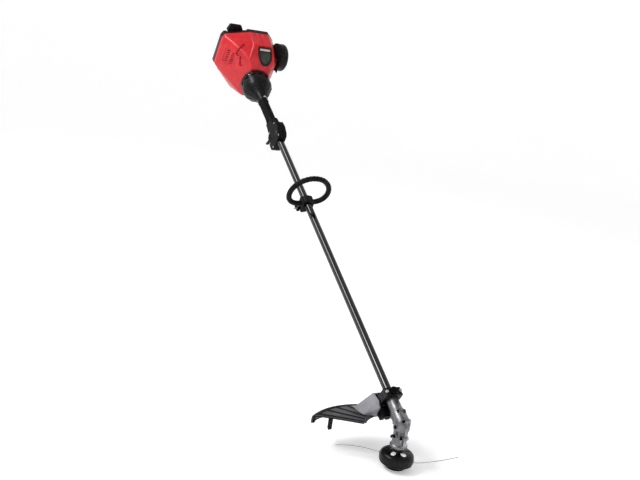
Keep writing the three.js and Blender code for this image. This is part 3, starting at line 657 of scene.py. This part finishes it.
def add_head():
    add("head_cup", head_cup(), HEAD, "satin", 0.35, "head", angle=30, replaces=["head_housing"])
    lid = lathe([(22.3, 16.3), (45.6, 16.3), (47, 17.8), (47, 20.6), (46.2, 21.7), (22.3, 21.7)], 96)
    slots = around(12, lambda: slab((28, 41), (-2, 2), (10, 18.2)))
    slots += around(6, lambda: slab((45.2, 50), (-4, 4), (10, 19)), 10)
    add("head_cover", cut(lid, merged(*slots)), HEAD, "satin", 0.4, "head", replaces=["head_lid"])
    knob = lathe([(0, 0), (22, 0), (26, 0.8), (29, 2.6), (30, 4.8), (29.6, 7), (28, 8), (21.5, 8), (21.5, 26),
                  (0, 26)], 96)
    dents = around(10, lambda: lathe([(0, -1), (4, -1), (3.2, 9), (0, 9)], 20), 0, shift(x=31.6))
    dents.append(lathe([(0, -1), (10, -1), (9, 1.4), (0, 1.6)], 40))
    add("bump_button", cut(knob, merged(*dents)), HEAD, "black", 0.5, "bump", replaces=["bump_knob"])
    for side, angle in (("a", EYELET_TURN + 180), ("b", EYELET_TURN)):
        sleeve = lathe([(1.8, 42), (3.9, 42), (3.9, 49.2), (5.3, 49.6), (5.5, 50.3), (4.6, 51), (2.6, 51),
                        (1.8, 50.2)], 36)
        moved(sleeve, turn(angle, "Z") @ shift(z=LINE_LEVEL) @ FACING_UP)
        add("eyelet_" + side, sleeve, HEAD, "steel", 0, "head", replaces=["line_eyelet_" + side])
    # Two near-white tabs on the dome: painted highlights for two bright glints.
    for k, angle in enumerate((303, 363)):
        tab = moved(prism(GLINT_TAB, 48.4, 52.6), turn(angle, "Z"))
        add("head_window_%d" % k, tab, HEAD, "glint_tab", 1.4, "head", segments=4)
    wound = []
    for layer in range(3):
        for row in range(6):
            height = 27 + 2.2 * row
            wound.append(sweep(helix(31.4 + 2.1 * layer, height, height, 1, 48), 1.05, 6))
    add("wound_line", merged(*wound), HEAD, "line", 0, "spool")
    dress("grey", 0.4, "line_spool")
    dress("dark", 0.4, "spindle")
    coil = sweep(helix(9, 27.6, 45.6, 3, 180), 1, 10)
    spring = add("press_spring", coil, HEAD, "steel", 0, "bump", replaces=["bump_spring"])
    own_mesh(spring)


# ---- gearbox, clamp and guard ------------------------------------------------------------------

GEARBOX_LUGS = [(21, 149), (-22.5, 124), (-21.5, 84), (22.5, 98), (-14, 163)]
SIDE_BOLTS = [(6.5, 127), (7.5, 100.5)]
ELBOW_RADIUS, ELBOW_HEIGHT = 23.9, 132
NECK_RADIUS = 18.8


def gearbox_body():
    to_head = TO_BOOM.inverted()
    barrel = lathe([
        (0, 64), (24, 64), (25, 65), (25, 70), (24, 71.6), (21.4, 73.4), (20.6, 76), (20.5, 108), (21.4, 112),
        (23.2, 116), (23.6, 120), (23.6, 133), (0, 133),
    ], 72)
    neck = lathe([
        (0, 0), (23, 0), (23, 30), (22.2, 34), (19.6, 41), (18.6, 45), (18.5, 104.6), (17.9, 106), (0, 106),
    ], 72)
    ball = [(0, ELBOW_HEIGHT - 23.923)]
    for i in range(1, 24):
        angle = radians(-90.1 + 180.2 * i / 24)
        ball.append((ELBOW_RADIUS * cos(angle), ELBOW_HEIGHT + ELBOW_RADIUS * sin(angle)))
    ball.append((0, ELBOW_HEIGHT + 23.923))
    body = joined(barrel, moved(neck, to_head), lathe(ball, 72))
    for x, z in GEARBOX_LUGS:
        lug = lathe([(0, -10), (5.6, -10), (6, -9), (6, 9), (5.6, 10), (0, 10)], 32)
        body = joined(body, moved(lug, shift(x, 0, z) @ FACING_LEFT))
    flange = slab((-24.4, 24.4), (-2.6, 2.6), (66, 128))
    rib = moved(slab((-26, 25), (-2.6, 2.6), (2, 42)), to_head)
    room = moved(rod(13, 2, 120, 48), to_head)
    well = lathe([(0, 60), (9, 60), (9, 70), (13, 70), (13, 118), (16.5, 119), (16.5, 134), (0, 134)], 48)
    seam = slab((-400, 400), (-0.3, 0.3), (-400, 400))
    return cut(joined(body, flange, rib), room, well, seam)


def add_gearbox():
    add("gearbox_case", gearbox_body(), HEAD, "cast", 0.7, angle=28,
        replaces=["gearbox_half_left", "gearbox_half_right"])
    lugs = [shift(x, -10, z) @ FACING_RIGHT for x, z in GEARBOX_LUGS]
    add_row("case_screw", lambda: screw(4.4, 6), lugs, HEAD, "black", 0.3)
    bosses = [shift(x, -20.8, z) @ FACING_RIGHT for x, z in SIDE_BOLTS]
    boss = [(0, -20), (6, -20), (6, 2.5), (5.2, 3.4), (0, 3.4)]
    add_row("side_boss", lambda: lathe(boss, 32), bosses, HEAD, "cast", 0.4)
    bolts = [place @ shift(z=3.4) for place in bosses]
    add_row("side_bolt", lambda: hex_bolt(4.4), bolts, HEAD, "black", 0.3)
    add("grease_plug", moved(hex_bolt(5.2), shift(22.6, 5, 24) @ FACING_UP), BOOM, "dark", 0.3)
    add("neck_bolt", moved(hex_bolt(4.2), shift(18.2, 0, 60) @ FACING_UP), BOOM, "dark", 0.3)
    dress("steel", 0.3, "pinion_gear", "output_gear", "pinion_bearing", "spindle_bearing_upper",
          "spindle_bearing_lower")


def add_clamp():
    block = joined(rounded((-26, 24), (-28, 28), (78, 104), 4), rounded((-34, -20), (-24, 24), (78, 116), 4))
    neck = rod(NECK_RADIUS, 50, 120, 64)
    seam = slab((-2, -0.8), (-40, 40), (70, 110))
    relief = merged(slab((-40, -24), (-15, 15), (86, 96)), slab((14, 30), (-10, 10), (84, 98)))
    add("clamp_block", cut(block, neck, seam, relief), BOOM, "satin", 1.0, segments=3,
        replaces=["guard_clamp"])
    screws = [shift(24, y, 91) @ FACING_UP for y in (-22.5, 22.5)]
    add_row("clamp_screw", lambda: screw(4.6, 20), screws, BOOM, "steel", 0.3)
    nuts = [shift(-34, y, 110) @ turn(-90, "Y") for y in (-18, 18)]
    add_row("clamp_nut", lambda: hex_bolt(4.6), nuts, BOOM, "steel", 0.3)
    cap = lathe([(0, 0), (11, 0), (12, 1), (12, 6), (10.5, 8.6), (6, 9.6), (0, 9.8)], 48)
    dents = around(8, lambda: rod(2.4, -1, 12, 12), 0, shift(x=13))
    cap = moved(cut(cap, merged(*dents)), shift(23.8, 0, 91) @ FACING_UP)
    add("clamp_knob", cap, BOOM, "black", 0.6)
    strap = rounded((-27.5, -25.5), (-17, 17), (80, 86), 0.8)
    add("clamp_strap", strap, BOOM, "steel", 0.4)


RIM_CIRCLE, RIM_OFFSET, RIM_LEAST = 202, 70, 186
GUARD_INNER, GUARD_TOP, GUARD_EDGE, GUARD_CORNER = 98, 113, 105, 9
ROOF_SHARE, CORNER_SHARE = 0.74, 0.84
CORNER_WIDTH = 0.1
GUARD_START, GUARD_WIDTH = -26, 78
GUARD_WALL = 3
BLADE_TURN = 180 + 12.5


def guard_point(angle, along, lift=0.0):
    """The guard's outer surface: over the roof from the inner edge, round a corner and down the skirt."""
    wing = min(1, max(0, (degrees(angle) - 14) / 32))
    skirt = 40 - 12 * wing * wing * (3 - 2 * wing)
    side = RIM_OFFSET * sin(angle)
    rim = max(RIM_LEAST, side + sqrt(RIM_CIRCLE ** 2 - RIM_OFFSET ** 2 + side ** 2))
    if along <= ROOF_SHARE:
        share = along / ROOF_SHARE
        radius = GUARD_INNER + (rim - GUARD_CORNER - GUARD_INNER) * share
        height = GUARD_TOP + (GUARD_EDGE - GUARD_TOP) * share + sin(share * pi) * 0.8 + lift
    elif along <= CORNER_SHARE:
        swing = (along - ROOF_SHARE) / CORNER_WIDTH * pi / 2
        radius = rim - GUARD_CORNER + (GUARD_CORNER + lift) * sin(swing)
        height = GUARD_EDGE - GUARD_CORNER + (GUARD_CORNER + lift) * cos(swing)
    else:
        drop = (along - CORNER_SHARE) / (1 - CORNER_SHARE)
        radius = rim + lift
        height = GUARD_EDGE - GUARD_CORNER - (skirt - GUARD_CORNER) * drop
    return -radius * cos(angle), -radius * sin(angle), height


def guard_grid(start, end, low, high, columns, rows, lift=0.0):
    """Points on the guard between two angles, in degrees, and two shares of its section."""
    points = []
    for i in range(columns + 1):
        angle = radians(start + (end - start) * i / columns)
        for j in range(rows + 1):
            points.append(guard_point(angle, low + (high - low) * j / rows, lift))
    return points


def grid_faces(columns, rows):
    corners = [i * (rows + 1) + j for i in range(columns) for j in range(rows)]
    return [(a, a + rows + 1, a + rows + 2, a + 1) for a in corners]


def guard_sheet():
    rows, columns = 26, 48
    points = guard_grid(GUARD_START, GUARD_START + GUARD_WIDTH, 0, 1, columns, rows)
    shape = tidy(from_faces(points, grid_faces(columns, rows)))
    if sum(face.normal.z for face in shape.faces) < 0:
        bmesh.ops.reverse_faces(shape, faces=shape.faces)
    return walled(shape, GUARD_WALL, even=True)


def guard_band(low, high, start, end, lift, under=0.0):
    """A raised band on the guard's surface between two shares of its section and two angles."""
    rows, columns = 12, 40
    points = guard_grid(start, end, low, high, columns, rows, lift)
    layer = len(points)
    points += guard_grid(start, end, low, high, columns, rows, -under)
    faces = grid_faces(columns, rows)
    faces += [tuple(layer + corner for corner in face[::-1]) for face in faces]
    edge = [i * (rows + 1) for i in range(columns + 1)]
    edge += [columns * (rows + 1) + j for j in range(1, rows + 1)]
    edge += [i * (rows + 1) + rows for i in range(columns - 1, -1, -1)]
    edge += list(range(rows - 1, 0, -1))
    for a, b in zip(edge, edge[1:] + edge[:1]):
        faces.append((a, b, layer + b, layer + a))
    return tidy(from_faces(points, faces))


def add_guard():
    riser = hull([
        (-76, -30, 146), (-76, 18, 146), (-96, -34, 108), (-96, 20, 108), (-118, -32, 174), (-118, 18, 174),
        (-84, -32, 165), (-84, 18, 165), (-136, -24, 152), (-136, 12, 152), (-168, -62, 105), (-172, 30, 105),
        (-112, -58, 109)])
    clamp = moved(slab((-34.6, 24.6), (-28.6, 28.6), (77.4, 116.6)), TO_BOOM.inverted())
    add("debris_guard", guard_sheet(), HEAD, "grey", 0.9, angle=35, replaces=["guard"])
    # The riser and the raised plate take the lighter grey: painted light for the lit top of the guard's roof.
    add("guard_riser", cut(riser, clamp), HEAD, "plate", 1.6, segments=3, angle=15)
    add("guard_lit_plate", guard_band(0.12, 0.62, -22, 19, 2.2), HEAD, "plate", 0.8, angle=40)
    edges = [
        ("guard_lip", guard_band(0.88, 0.995, -25.6, 51.6, 1.6)),
        ("guard_shoulder", guard_band(0.68, 0.735, -25.2, 51.2, 1.6)),
        ("guard_edge", guard_band(0.03, 0.995, 48.8, 51.4, 1.4, under=6.5)),
    ]
    for name, band in edges:
        add(name, band, HEAD, "black", 0.5, angle=40)
    for k, (angle, low) in enumerate(((-14, 0.64), (4, 0.64), (20, 0.25), (30, 0.1), (40, 0.06))):
        rib = guard_band(low, 0.7, angle, angle + 1.0, 1.8)
        add("guard_rib_%d" % k, rib, HEAD, "black", 0.4, angle=40)
    # A black block under the clamp, by the gearbox neck: its black is painted shade for the shadowed side under
    # the clamp.
    shade_block = hull([
        (-60, -25, 50), (-60, 25, 50), (-60, -25, 76), (-60, 25, 76), (-25, -27, 40), (-25, 27, 40),
        (-25, -27, 77), (-25, 27, 77)])
    pockets = merged(slab((-70, -34), (-14, -6), (30, 90)), slab((-70, -34), (6, 14), (30, 90)))
    shade_block = cut(shade_block, rod(NECK_RADIUS, 0, 120, 48), pockets)
    add("guard_shade_block", shade_block, BOOM, "black", 1.2, segments=3)
    dress("satin", 0.4, "line_cutter_blade")
    blade = shift(y=-RIM_OFFSET) @ turn(BLADE_TURN, "Z")
    screws = [blade @ shift(RIM_CIRCLE - 5.6, side, 88) @ turn(-90, "Y") for side in (-4.5, 4.5)]
    add_row("blade_screw", lambda: screw(3.2, 0, "cross"), screws, HEAD, "steel", 0.2)


# ---- boom, grips and throttle ------------------------------------------------------------------

GRIP_LOW, GRIP_HIGH = 1323, 1420
THROTTLE_AT = 1196
THROTTLE_SCREWS = [(-33, 8), (27, 8), (-22, 74), (30, 70), (-43, 40)]


def add_boom():
    tube = lathe([(11.2, 45.4), (12.3, 45), (12.7, 45.4), (12.7, 1469.6), (12.3, 1470), (11.2, 1469.6)], 80)
    add("boom", tube, BOOM, "boom", 0, angle=40, replaces=["boom_tube"])
    dress("dark", 0.3, "drive_shaft")
    dress("black", 0.3, "shaft_bush_lower", "shaft_bush_upper")
    profile = [(13, 1316), (19.2, 1316), (20, 1316.8), (20, 1319.4), (19.2, 1320.4), (17.4, 1322)]
    ribs = 23
    for k in range(ribs):
        z = GRIP_LOW + k * (GRIP_HIGH - GRIP_LOW) / ribs
        rib = [(17.2, 0), (18.2, 0.5), (18.5, 1.1), (18.5, 2.3), (18.2, 2.9), (17.2, 3.3)]
        profile += [(radius, z + rise) for radius, rise in rib]
    profile += [(17.4, 1422), (19.6, 1424), (20.5, 1425.4), (20.5, 1427), (19.8, 1428), (13, 1428)]
    grooves = around(8, lambda: slab((16.6, 30), (-0.8, 0.8), (GRIP_LOW, GRIP_HIGH)), 20)
    grip = cut(lathe(profile, 72), *grooves)
    add("grip_sleeve", grip, BOOM, "rubber", 0, angle=35, replaces=["rear_grip"])


def loop_path():
    half = [(0, 16), (0, 34), (8, 54), (26, 68), (50, 71), (76, 62), (100, 38), (110, 0)]
    whole = half + [(x, -y) for x, y in half[-2::-1]]
    return smooth_path([(x, y, 0) for x, y in whole], 12)


def loop_radius(share):
    """Ribbed where the hand holds it and plain near the clamp."""
    wave = 0.5 + 0.5 * cos(FULL * 44 * share)
    return 9.5 - (0.9 * wave if 0.2 < share < 0.8 else 0.3)


def add_d_handle():
    foot = joined(rounded((-33, 17), (-22, 22), (-14, 14), 6), rod(21.5, -14, 14, 64))
    body = joined(sweep(loop_path(), loop_radius, 28), foot)
    bolt = moved(rod(3.3, -40, 40), shift(x=-25) @ FACING_LEFT)
    slot = slab((-45, -9), (-4, 4), (-20, 20))
    body = cut(body, rod(13, -20, 20, 64), bolt, slot)
    add("d_handle_loop", body, LOOP, "rubber", 0.6, "front_handle", angle=38, replaces=["d_handle"])
    dress("black", 0.5, "clamp_spacer")
    dress("steel", 0.3, "clamp_bolt")
    dress("black", 0.6, "wing_nut")
    screws = [shift(-12, y, 14) for y in (-15, 15)]
    add_row("handle_screw", lambda: screw(3.6, 0), screws, LOOP, "steel", 0.3, body="front_handle")


def add_throttle():
    for side, facing, name in ((1, FACING_LEFT, "left"), (-1, FACING_RIGHT, "right")):
        places = [shift(x, 0, THROTTLE_AT + z) @ facing for x, z in THROTTLE_SCREWS]
        wells = [moved(rod(4.2, 12.6, 20, 24), place) for place in places]
        for k in range(7):
            z = THROTTLE_AT + 44 + 5 * k
            groove = slab((-36 + 1.1 * k, -20), (14.6, 20), (z, z + 1.8))
            wells.append(moved(groove, Matrix.Scale(side, 4, (0, 1, 0))))
        node = "throttle_housing_" + name
        half = cut(node_shape(node, BOOM), merged(*wells))
        add("throttle_case_" + name, half, BOOM, "black", 1.6, segments=3, angle=25, replaces=[node])
    screws = [shift(x, -12.7, THROTTLE_AT + z) @ FACING_RIGHT for x, z in THROTTLE_SCREWS]
    add_row("throttle_screw", lambda: screw(3.4, 0, "cross"), screws, BOOM, "steel", 0.2)
    dress("black", 1.2, "throttle_trigger", "lockout_lever", segments=3)
    dress("satin", 0.8, "stop_switch", segments=3)


# ---- engine ------------------------------------------------------------------------------------

def facet_frame(origin, across, up):
    """A frame on a face of the cover: +X across, +Y up, +Z out of it, in engine millimetres."""
    x, y = Vector(across).normalized(), Vector(up).normalized()
    return Matrix.Translation(origin) @ Matrix((x, y, x.cross(y))).transposed().to_4x4()


SLOPE = facet_frame((98, 24, 36.2), (-2, 104, 4), (34.4, -1, 43.2))
LEFT_FACE = facet_frame((50, -81, 65.3), (0, 96, -128), (1, 0, 0))
LOWER_FACE = facet_frame((-72, -76, 122), (62, -70, 0), (0, 0, 1))
TOP_FACE = facet_frame((130, 0, 122), (0, 1, 0), (7, 0, 62))
OVAL = LEFT_FACE @ shift(8, 45) @ turn(-8, "Z")
PANEL = [(-25, 36), (-29, 32), (-30, 6), (-27, -14), (-18, -30), (-8, -37), (8, -37), (18, -30), (27, -14),
         (30, 6), (29, 32), (25, 36)]
FIELD = [(-20, 16), (20, 16), (20, -4), (15, -18), (7, -28), (-7, -28), (-15, -18), (-20, -4)]
HOLLOW = [(-17, 18), (19, 20), (15, -8), (2, -20), (-4, -20)]
FILTER = shift(72, 0, 85) @ FACING_LEFT
PRIMER = shift(9, 0, 70) @ FACING_LEFT
FUEL_CAP = shift(-61, 0, 100) @ FACING_LEFT
ROPE_HOLE = shift(0, -70, 172) @ FACING_UP
COVER_WALL = 2.6


def grown(outline, amount):
    return [(x * (1 + amount / 30), y * (1 + amount / 31)) for x, y in outline]


def cover_solid(offset=0):
    """The cover with its corners rolled over and no recesses, grown or shrunk by the offset."""
    solid = node_shape("engine_shroud", ENGINE)
    points = [vert.co.copy() for vert in solid.verts]
    solid.free()
    back = max(point.z for point in points)
    shape = hull(points)
    bmesh.ops.dissolve_limit(shape, angle_limit=radians(1.5), verts=shape.verts, edges=shape.edges)
    edges = [edge for edge in shape.edges if min(vert.co.z for vert in edge.verts) < back - 1]
    roll_edges(shape, edges, 8)
    if offset:
        shape.normal_update()
        moves = [vert.normal * (min(vert.calc_shell_factor(), 1.5) * offset) for vert in shape.verts]
        for vert, move in zip(shape.verts, moves):
            vert.co += move
    return shape


def skin(outline, where, low, high):
    """A plate that follows the cover's surface, between two heights above it."""
    column = moved(prism(outline, -30, 30), where)
    return cut(combined(column, cover_solid(high), "INTERSECT"), cover_solid(low))


def sunk(shape, outline, where, depth):
    """Presses an outline into the cover's surface, to an even depth."""
    floor = prism([(x * 1.004, y * 1.004) for x, y in outline], -29, 30)
    floor = combined(moved(floor, where), cover_solid(-depth), "INTERSECT")
    return joined(cut(shape, moved(prism(outline, -28, 30), where)), floor)


def cover_shell():
    """The red cover: hollow behind, with recesses and cooling slots."""
    shape = cover_solid()
    back = max(vert.co.z for vert in shape.verts)
    recesses = [
        (grown(PANEL, 2.6), SLOPE, 2.4),
        (round_outline(22, 54, 10.5), OVAL, 4.5),
        (HOLLOW, LEFT_FACE @ shift(31, 8), 5),
        (round_outline(54, 66, 9), LEFT_FACE @ shift(-26, -8), 1.8),
    ]
    recesses += [(round_outline(9, 30, 4), TOP_FACE @ shift(y), 2) for y in (-4, 18, 40)]
    for outline, where, depth in recesses:
        shape = sunk(shape, outline, where, depth)
    behind = [face for face in shape.faces if face.calc_center_median().z > back - 0.5]
    rear = [face for face in behind if abs(face.normal.z) > 0.9]
    bmesh.ops.delete(shape, geom=rear, context="FACES")
    shape = walled(shape, COVER_WALL)
    cuts = [rod(47, -9, 14, 64)]
    for row in range(6):
        for column in range(2):
            slot = prism(round_outline(17, 3.2, 1.5), -20, 12)
            cuts.append(moved(slot, LEFT_FACE @ shift(-38 + 24 * column, -31 + 9.2 * row) @ turn(24, "Z")))
    for k in range(4):
        slot = prism(round_outline(4.6, 22, 2.2), -20, 12)
        cuts.append(moved(slot, LOWER_FACE @ shift(-12 + 9 * k)))
    cuts.append(slab((34, 81), (70, 100), (58, 104)))
    cuts.append(moved(rod(7.6, 60, 100, 36), PRIMER))
    cuts.append(moved(rod(15, 20, 110, 48), FUEL_CAP))
    return cut(shape, merged(*cuts))


def crest_radius(share):
    return 1 + 5.5 * sin(pi * min(1, share + 0.12)) ** 0.6


def add_cover():
    add("engine_cover", cover_shell(), ENGINE, "red", 0.7, angle=33, replaces=["engine_shroud"])
    rim = cut(skin(grown(PANEL, 5), SLOPE, -1.2, 1.6), moved(prism(grown(PANEL, 1.4), -40, 40), SLOPE))
    hole = moved(prism(round_outline(20.6, 52.6, 10), -40, 40), OVAL)
    ring = cut(skin(round_outline(27, 59, 13), OVAL, -1, 1.4), hole)
    strip = skin(round_outline(44, 8, 2.5), SLOPE @ shift(0, 25), 0.7, 1.5)
    crest = smooth_path([(127, -22, 124), (124, -22, 92), (121, -22.5, 66), (104, -32, 44), (87, -41, 23),
                         (72, -38, 12)], 8)
    lip = skin(round_outline(58, 9, 4), SLOPE @ shift(0, 45), -1, 3.6)
    screen = moved(prism(round_outline(60, 66, 8), -9.5, -8), LEFT_FACE @ shift(-24, -8))
    details = [
        ("badge_panel", skin(PANEL, SLOPE, -2.3, 0.8), "panel", 0.7),
        ("badge_strip", strip, "strip", 0.3),
        ("badge_field", skin(FIELD, SLOPE, 0.7, 1.2), "field", 0.3),
        ("badge_rim", rim, "red", 0.6),
        ("oval_rim", ring, "red", 0.6),
        ("cover_crest", sweep(crest, crest_radius, 24), "red", 0),
        ("slot_screen", screen, "dark", 0.2),
    ]
    for name, shape, look, bevel in details:
        add(name, shape, ENGINE, look, bevel)
    add("cover_lip", lip, ENGINE, "red", 1.4, segments=4)
    spots = [LOWER_FACE @ shift(x, y) for x, y in ((34, 14), (-24, 4))]
    washer = [(3.4, -0.6), (6.6, -0.6), (6.6, 0.7), (5.8, 1.2), (3.4, 1.2)]
    add_row("cover_washer", lambda: lathe(washer, 36), spots, ENGINE, "red", 0.2)
    seats = [spot @ shift(z=0.8) for spot in spots]
    add_row("cover_screw", lambda: screw(3.8, 0, "cross"), seats, ENGINE, "dark", 0.2)


def pull_grip():
    """The starter handle: a block narrower at its top, with grip grooves over it and below it."""
    corners = []
    for above, low, high, front, rear in ((108, -106, -34, 162, 184), (137, -98, -52, 164, 182)):
        corners += [(above, across, along) for across in (low, high) for along in (front, rear)]
    grip = hull(corners)
    roll_edges(grip, grip.edges[:], 4)
    grooves = []
    for k in range(5):
        groove = prism(round_outline(2.4, 40, 1.1), -2.2, 4)
        grooves.append(moved(groove, shift(137, -90 + 7.5 * k, 173) @ FACING_UP @ turn(90, "Z")))
    for k in range(4):
        groove = prism(round_outline(2, 30, 0.9), 0, 6)
        grooves.append(moved(groove, shift(114 + 6 * k, -72, 162.8 + 0.45 * k) @ turn(180, "X")))
    stem = lathe([(0, 102), (4.2, 102), (5, 104), (5, 110), (7, 116), (0, 116)], 36)
    return joined(cut(grip, merged(*grooves)), moved(stem, ROPE_HOLE))


def add_starter():
    cuts = []
    for radius, length, count in ((24, 12, 12), (46, 22, 20)):
        cuts += around(count, lambda: prism(round_outline(length, 4.2, 2), 192, 210), 4, shift(radius))
    edge = shift(67, 0, 190) @ FACING_UP @ turn(90, "Z")
    cuts += around(26, lambda: prism(round_outline(3.4, 14, 1.6), -5, 5), 0, edge)
    shape = cut(node_shape("starter_housing", ENGINE), merged(*cuts))
    add("starter_case", shape, ENGINE, "satin", 1.4, segments=3, angle=28,
        replaces=["starter_housing"])
    emblem = lathe([(0, 199), (13, 199), (13.6, 199.5), (12.8, 200), (0, 200)], 56)
    add("starter_disc", emblem, ENGINE, "grey", 0)
    screws = [shift(x, y, 181.6) for x, y in ((92, 58), (-60, -50), (86, -98), (-54, 26))]
    add_row("starter_screw", lambda: screw(4, 0), screws, ENGINE, "steel", 0.3)
    add("pull_grip", pull_grip(), ENGINE, "rubber", 0.4, "pull_handle", replaces=["starter_handle"])
    guide = lathe([(2.2, 95), (6, 95), (6, 100.6), (5, 101.6), (3, 101.6), (2.2, 100.8)], 36)
    add("rope_guide", moved(guide, ROPE_HOLE), ENGINE, "steel", 0)
    dress("grey", 0.5, "starter_pulley")


def add_filter():
    cover = lathe([
        (50, 96.3), (54, 96.3), (54, 100), (53.2, 101), (53.2, 113), (54, 114), (54, 117), (53, 120.4),
        (50.6, 124.4), (47, 127.4), (42, 129), (40, 129.2), (38.6, 128.2), (36, 128.2), (34.8, 129.6),
        (20, 131.3), (0, 132), (0, 128), (45, 124), (50, 116),
    ], 96)
    slots = around(20, lambda: prism(round_outline(3, 14, 1.4), 128.6, 140), 0, shift(0, 27))
    notches = around(24, lambda: slab((53, 60), (-1.6, 1.6), (101, 113)))
    cover = cut(cover, merged(*slots), merged(*notches))
    add("filter_cover", cover, ENGINE @ FILTER, "satin", 0.5, angle=30,
        replaces=["air_filter_cover"])
    knob = lathe([(0, 128), (11, 128), (11, 130.6), (9.6, 131.6), (0, 131.9)], 48)
    add("filter_knob", knob, ENGINE @ FILTER, "black", 0.3)
    dress("black", 1.2, "air_filter_base", segments=3)
    dress("foam", 0.4, "air_filter_element")
    dress("black", 1.0, "choke_lever", segments=3)
    dress("rubber", 0.4, "primer_bulb")
    bezel = lathe([(7.7, 79), (11, 79), (11, 82.4), (10, 83.6), (8.6, 83.6), (7.7, 82.8)], 48)
    add("primer_bezel", bezel, ENGINE @ PRIMER, "black", 0.2)


def add_tank():
    cap = lathe([(0, 60), (13.4, 60), (14, 60.6), (14, 68.4), (13, 70), (9, 71), (8.4, 69.6), (0, 69.6)], 72)
    notches = around(18, lambda: slab((13, 16), (-1.1, 1.1), (61.6, 75)))
    cap = joined(cut(cap, merged(*notches)), rounded((-9, 9), (-2.4, 2.4), (69, 72), 2))
    add("tank_cap", cap, ENGINE @ FUEL_CAP, "satin", 0.4, "tank_cap", replaces=["fuel_cap"])
    dress("tank", 1.5, "fuel_tank", segments=3)


def bell_fins():
    """Twelve ribs that follow the bell's outside."""
    fins = []
    for k in range(12):
        fin = moved(slab((18, 56.6), (-1.2, 1.2), (-112, -14)), turn(30 * k + 15, "Z"))
        outside = lathe([(0, -113), (22.6, -112), (31.4, -91), (47.4, -69.6), (54, -60), (57.9, -50),
                         (57.9, -14), (0, -13)], 64)
        inside = lathe([(0, -120), (17, -120), (17, -92), (30, -84), (48, -62), (55, -45), (55, -4),
                        (0, -4)], 48)
        fins.append(cut(combined(fin, outside, "INTERSECT"), inside))
    return merged(*fins)


def add_clutch():
    bell = lathe([
        (13, -130), (19.4, -130), (20, -129.4), (20, -123), (20.4, -118), (22, -110), (25, -100), (29.4, -91),
        (37, -80), (45.4, -69.6), (52, -60.4), (56, -52), (57.6, -45), (58, -38), (58, -12), (57, -10.6),
        (57, -8), (58, -6.6), (58, -4.4), (57.6, -4), (53, -4), (53, -40), (51, -52), (42, -68), (24, -86),
        (13, -91),
    ], 112)
    band = around(12, lambda: prism(round_outline(9, 17, 3), 54.6, 62), 0, FACING_UP @ shift(24))
    bell = cut(bell, merged(*band))
    add("clutch_bell", bell, ENGINE, "satin", 0.7, angle=30, replaces=["clutch_housing"])
    add("clutch_fins", bell_fins(), ENGINE, "satin", 0.4, angle=30)
    collar = cut(rounded((-23, 23), (-6, 6), (-129, -119), 4), rod(19.6, -140, -100, 48))
    add("clutch_collar", collar, ENGINE, "satin", 0.6)
    add("collar_screw", moved(screw(3.6, 0), shift(22.6, 0, -124) @ FACING_UP), ENGINE, "steel", 0.2)
    turns = [turn(90 * k + 45, "Z") for k in range(4)]
    lug = [(0, -14), (6, -14), (6.4, -13.4), (6.4, -4), (0, -4)]
    add_row("bell_lug", lambda: lathe(lug, 32), [angle @ shift(54) for angle in turns], ENGINE, "satin", 0.4)
    screws = [angle @ shift(54.6, 0, -14) @ turn(180, "X") for angle in turns]
    add_row("bell_screw", lambda: screw(3.8, 0), screws, ENGINE, "steel", 0.2)


def add_inside():
    dress("steel", 0.4, "clutch_drum", "crankshaft", "connecting_rod", "piston_pin")
    dress("dark", 0.4, "clutch_rotor", "muffler")
    dress("cast", 0.6, "flywheel", "crankcase", "cylinder", "piston", "carburetor")
    dress("ceramic", 0.3, "spark_plug")
    dress("rubber", 0.4, "plug_boot")
    dress("black", 0.6, "ignition_module")


add_camera()
add_studio()
add_line("trim_line_a", "line_a", LINE_A_ROUTE)
add_line("trim_line_b", "line_b", LINE_B_ROUTE)
for add_group in (add_head, add_gearbox, add_clamp, add_guard, add_boom, add_d_handle, add_throttle,
                  add_cover, add_starter, add_filter, add_tank, add_clutch, add_inside):
    add_group()

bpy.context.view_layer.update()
add_floor()
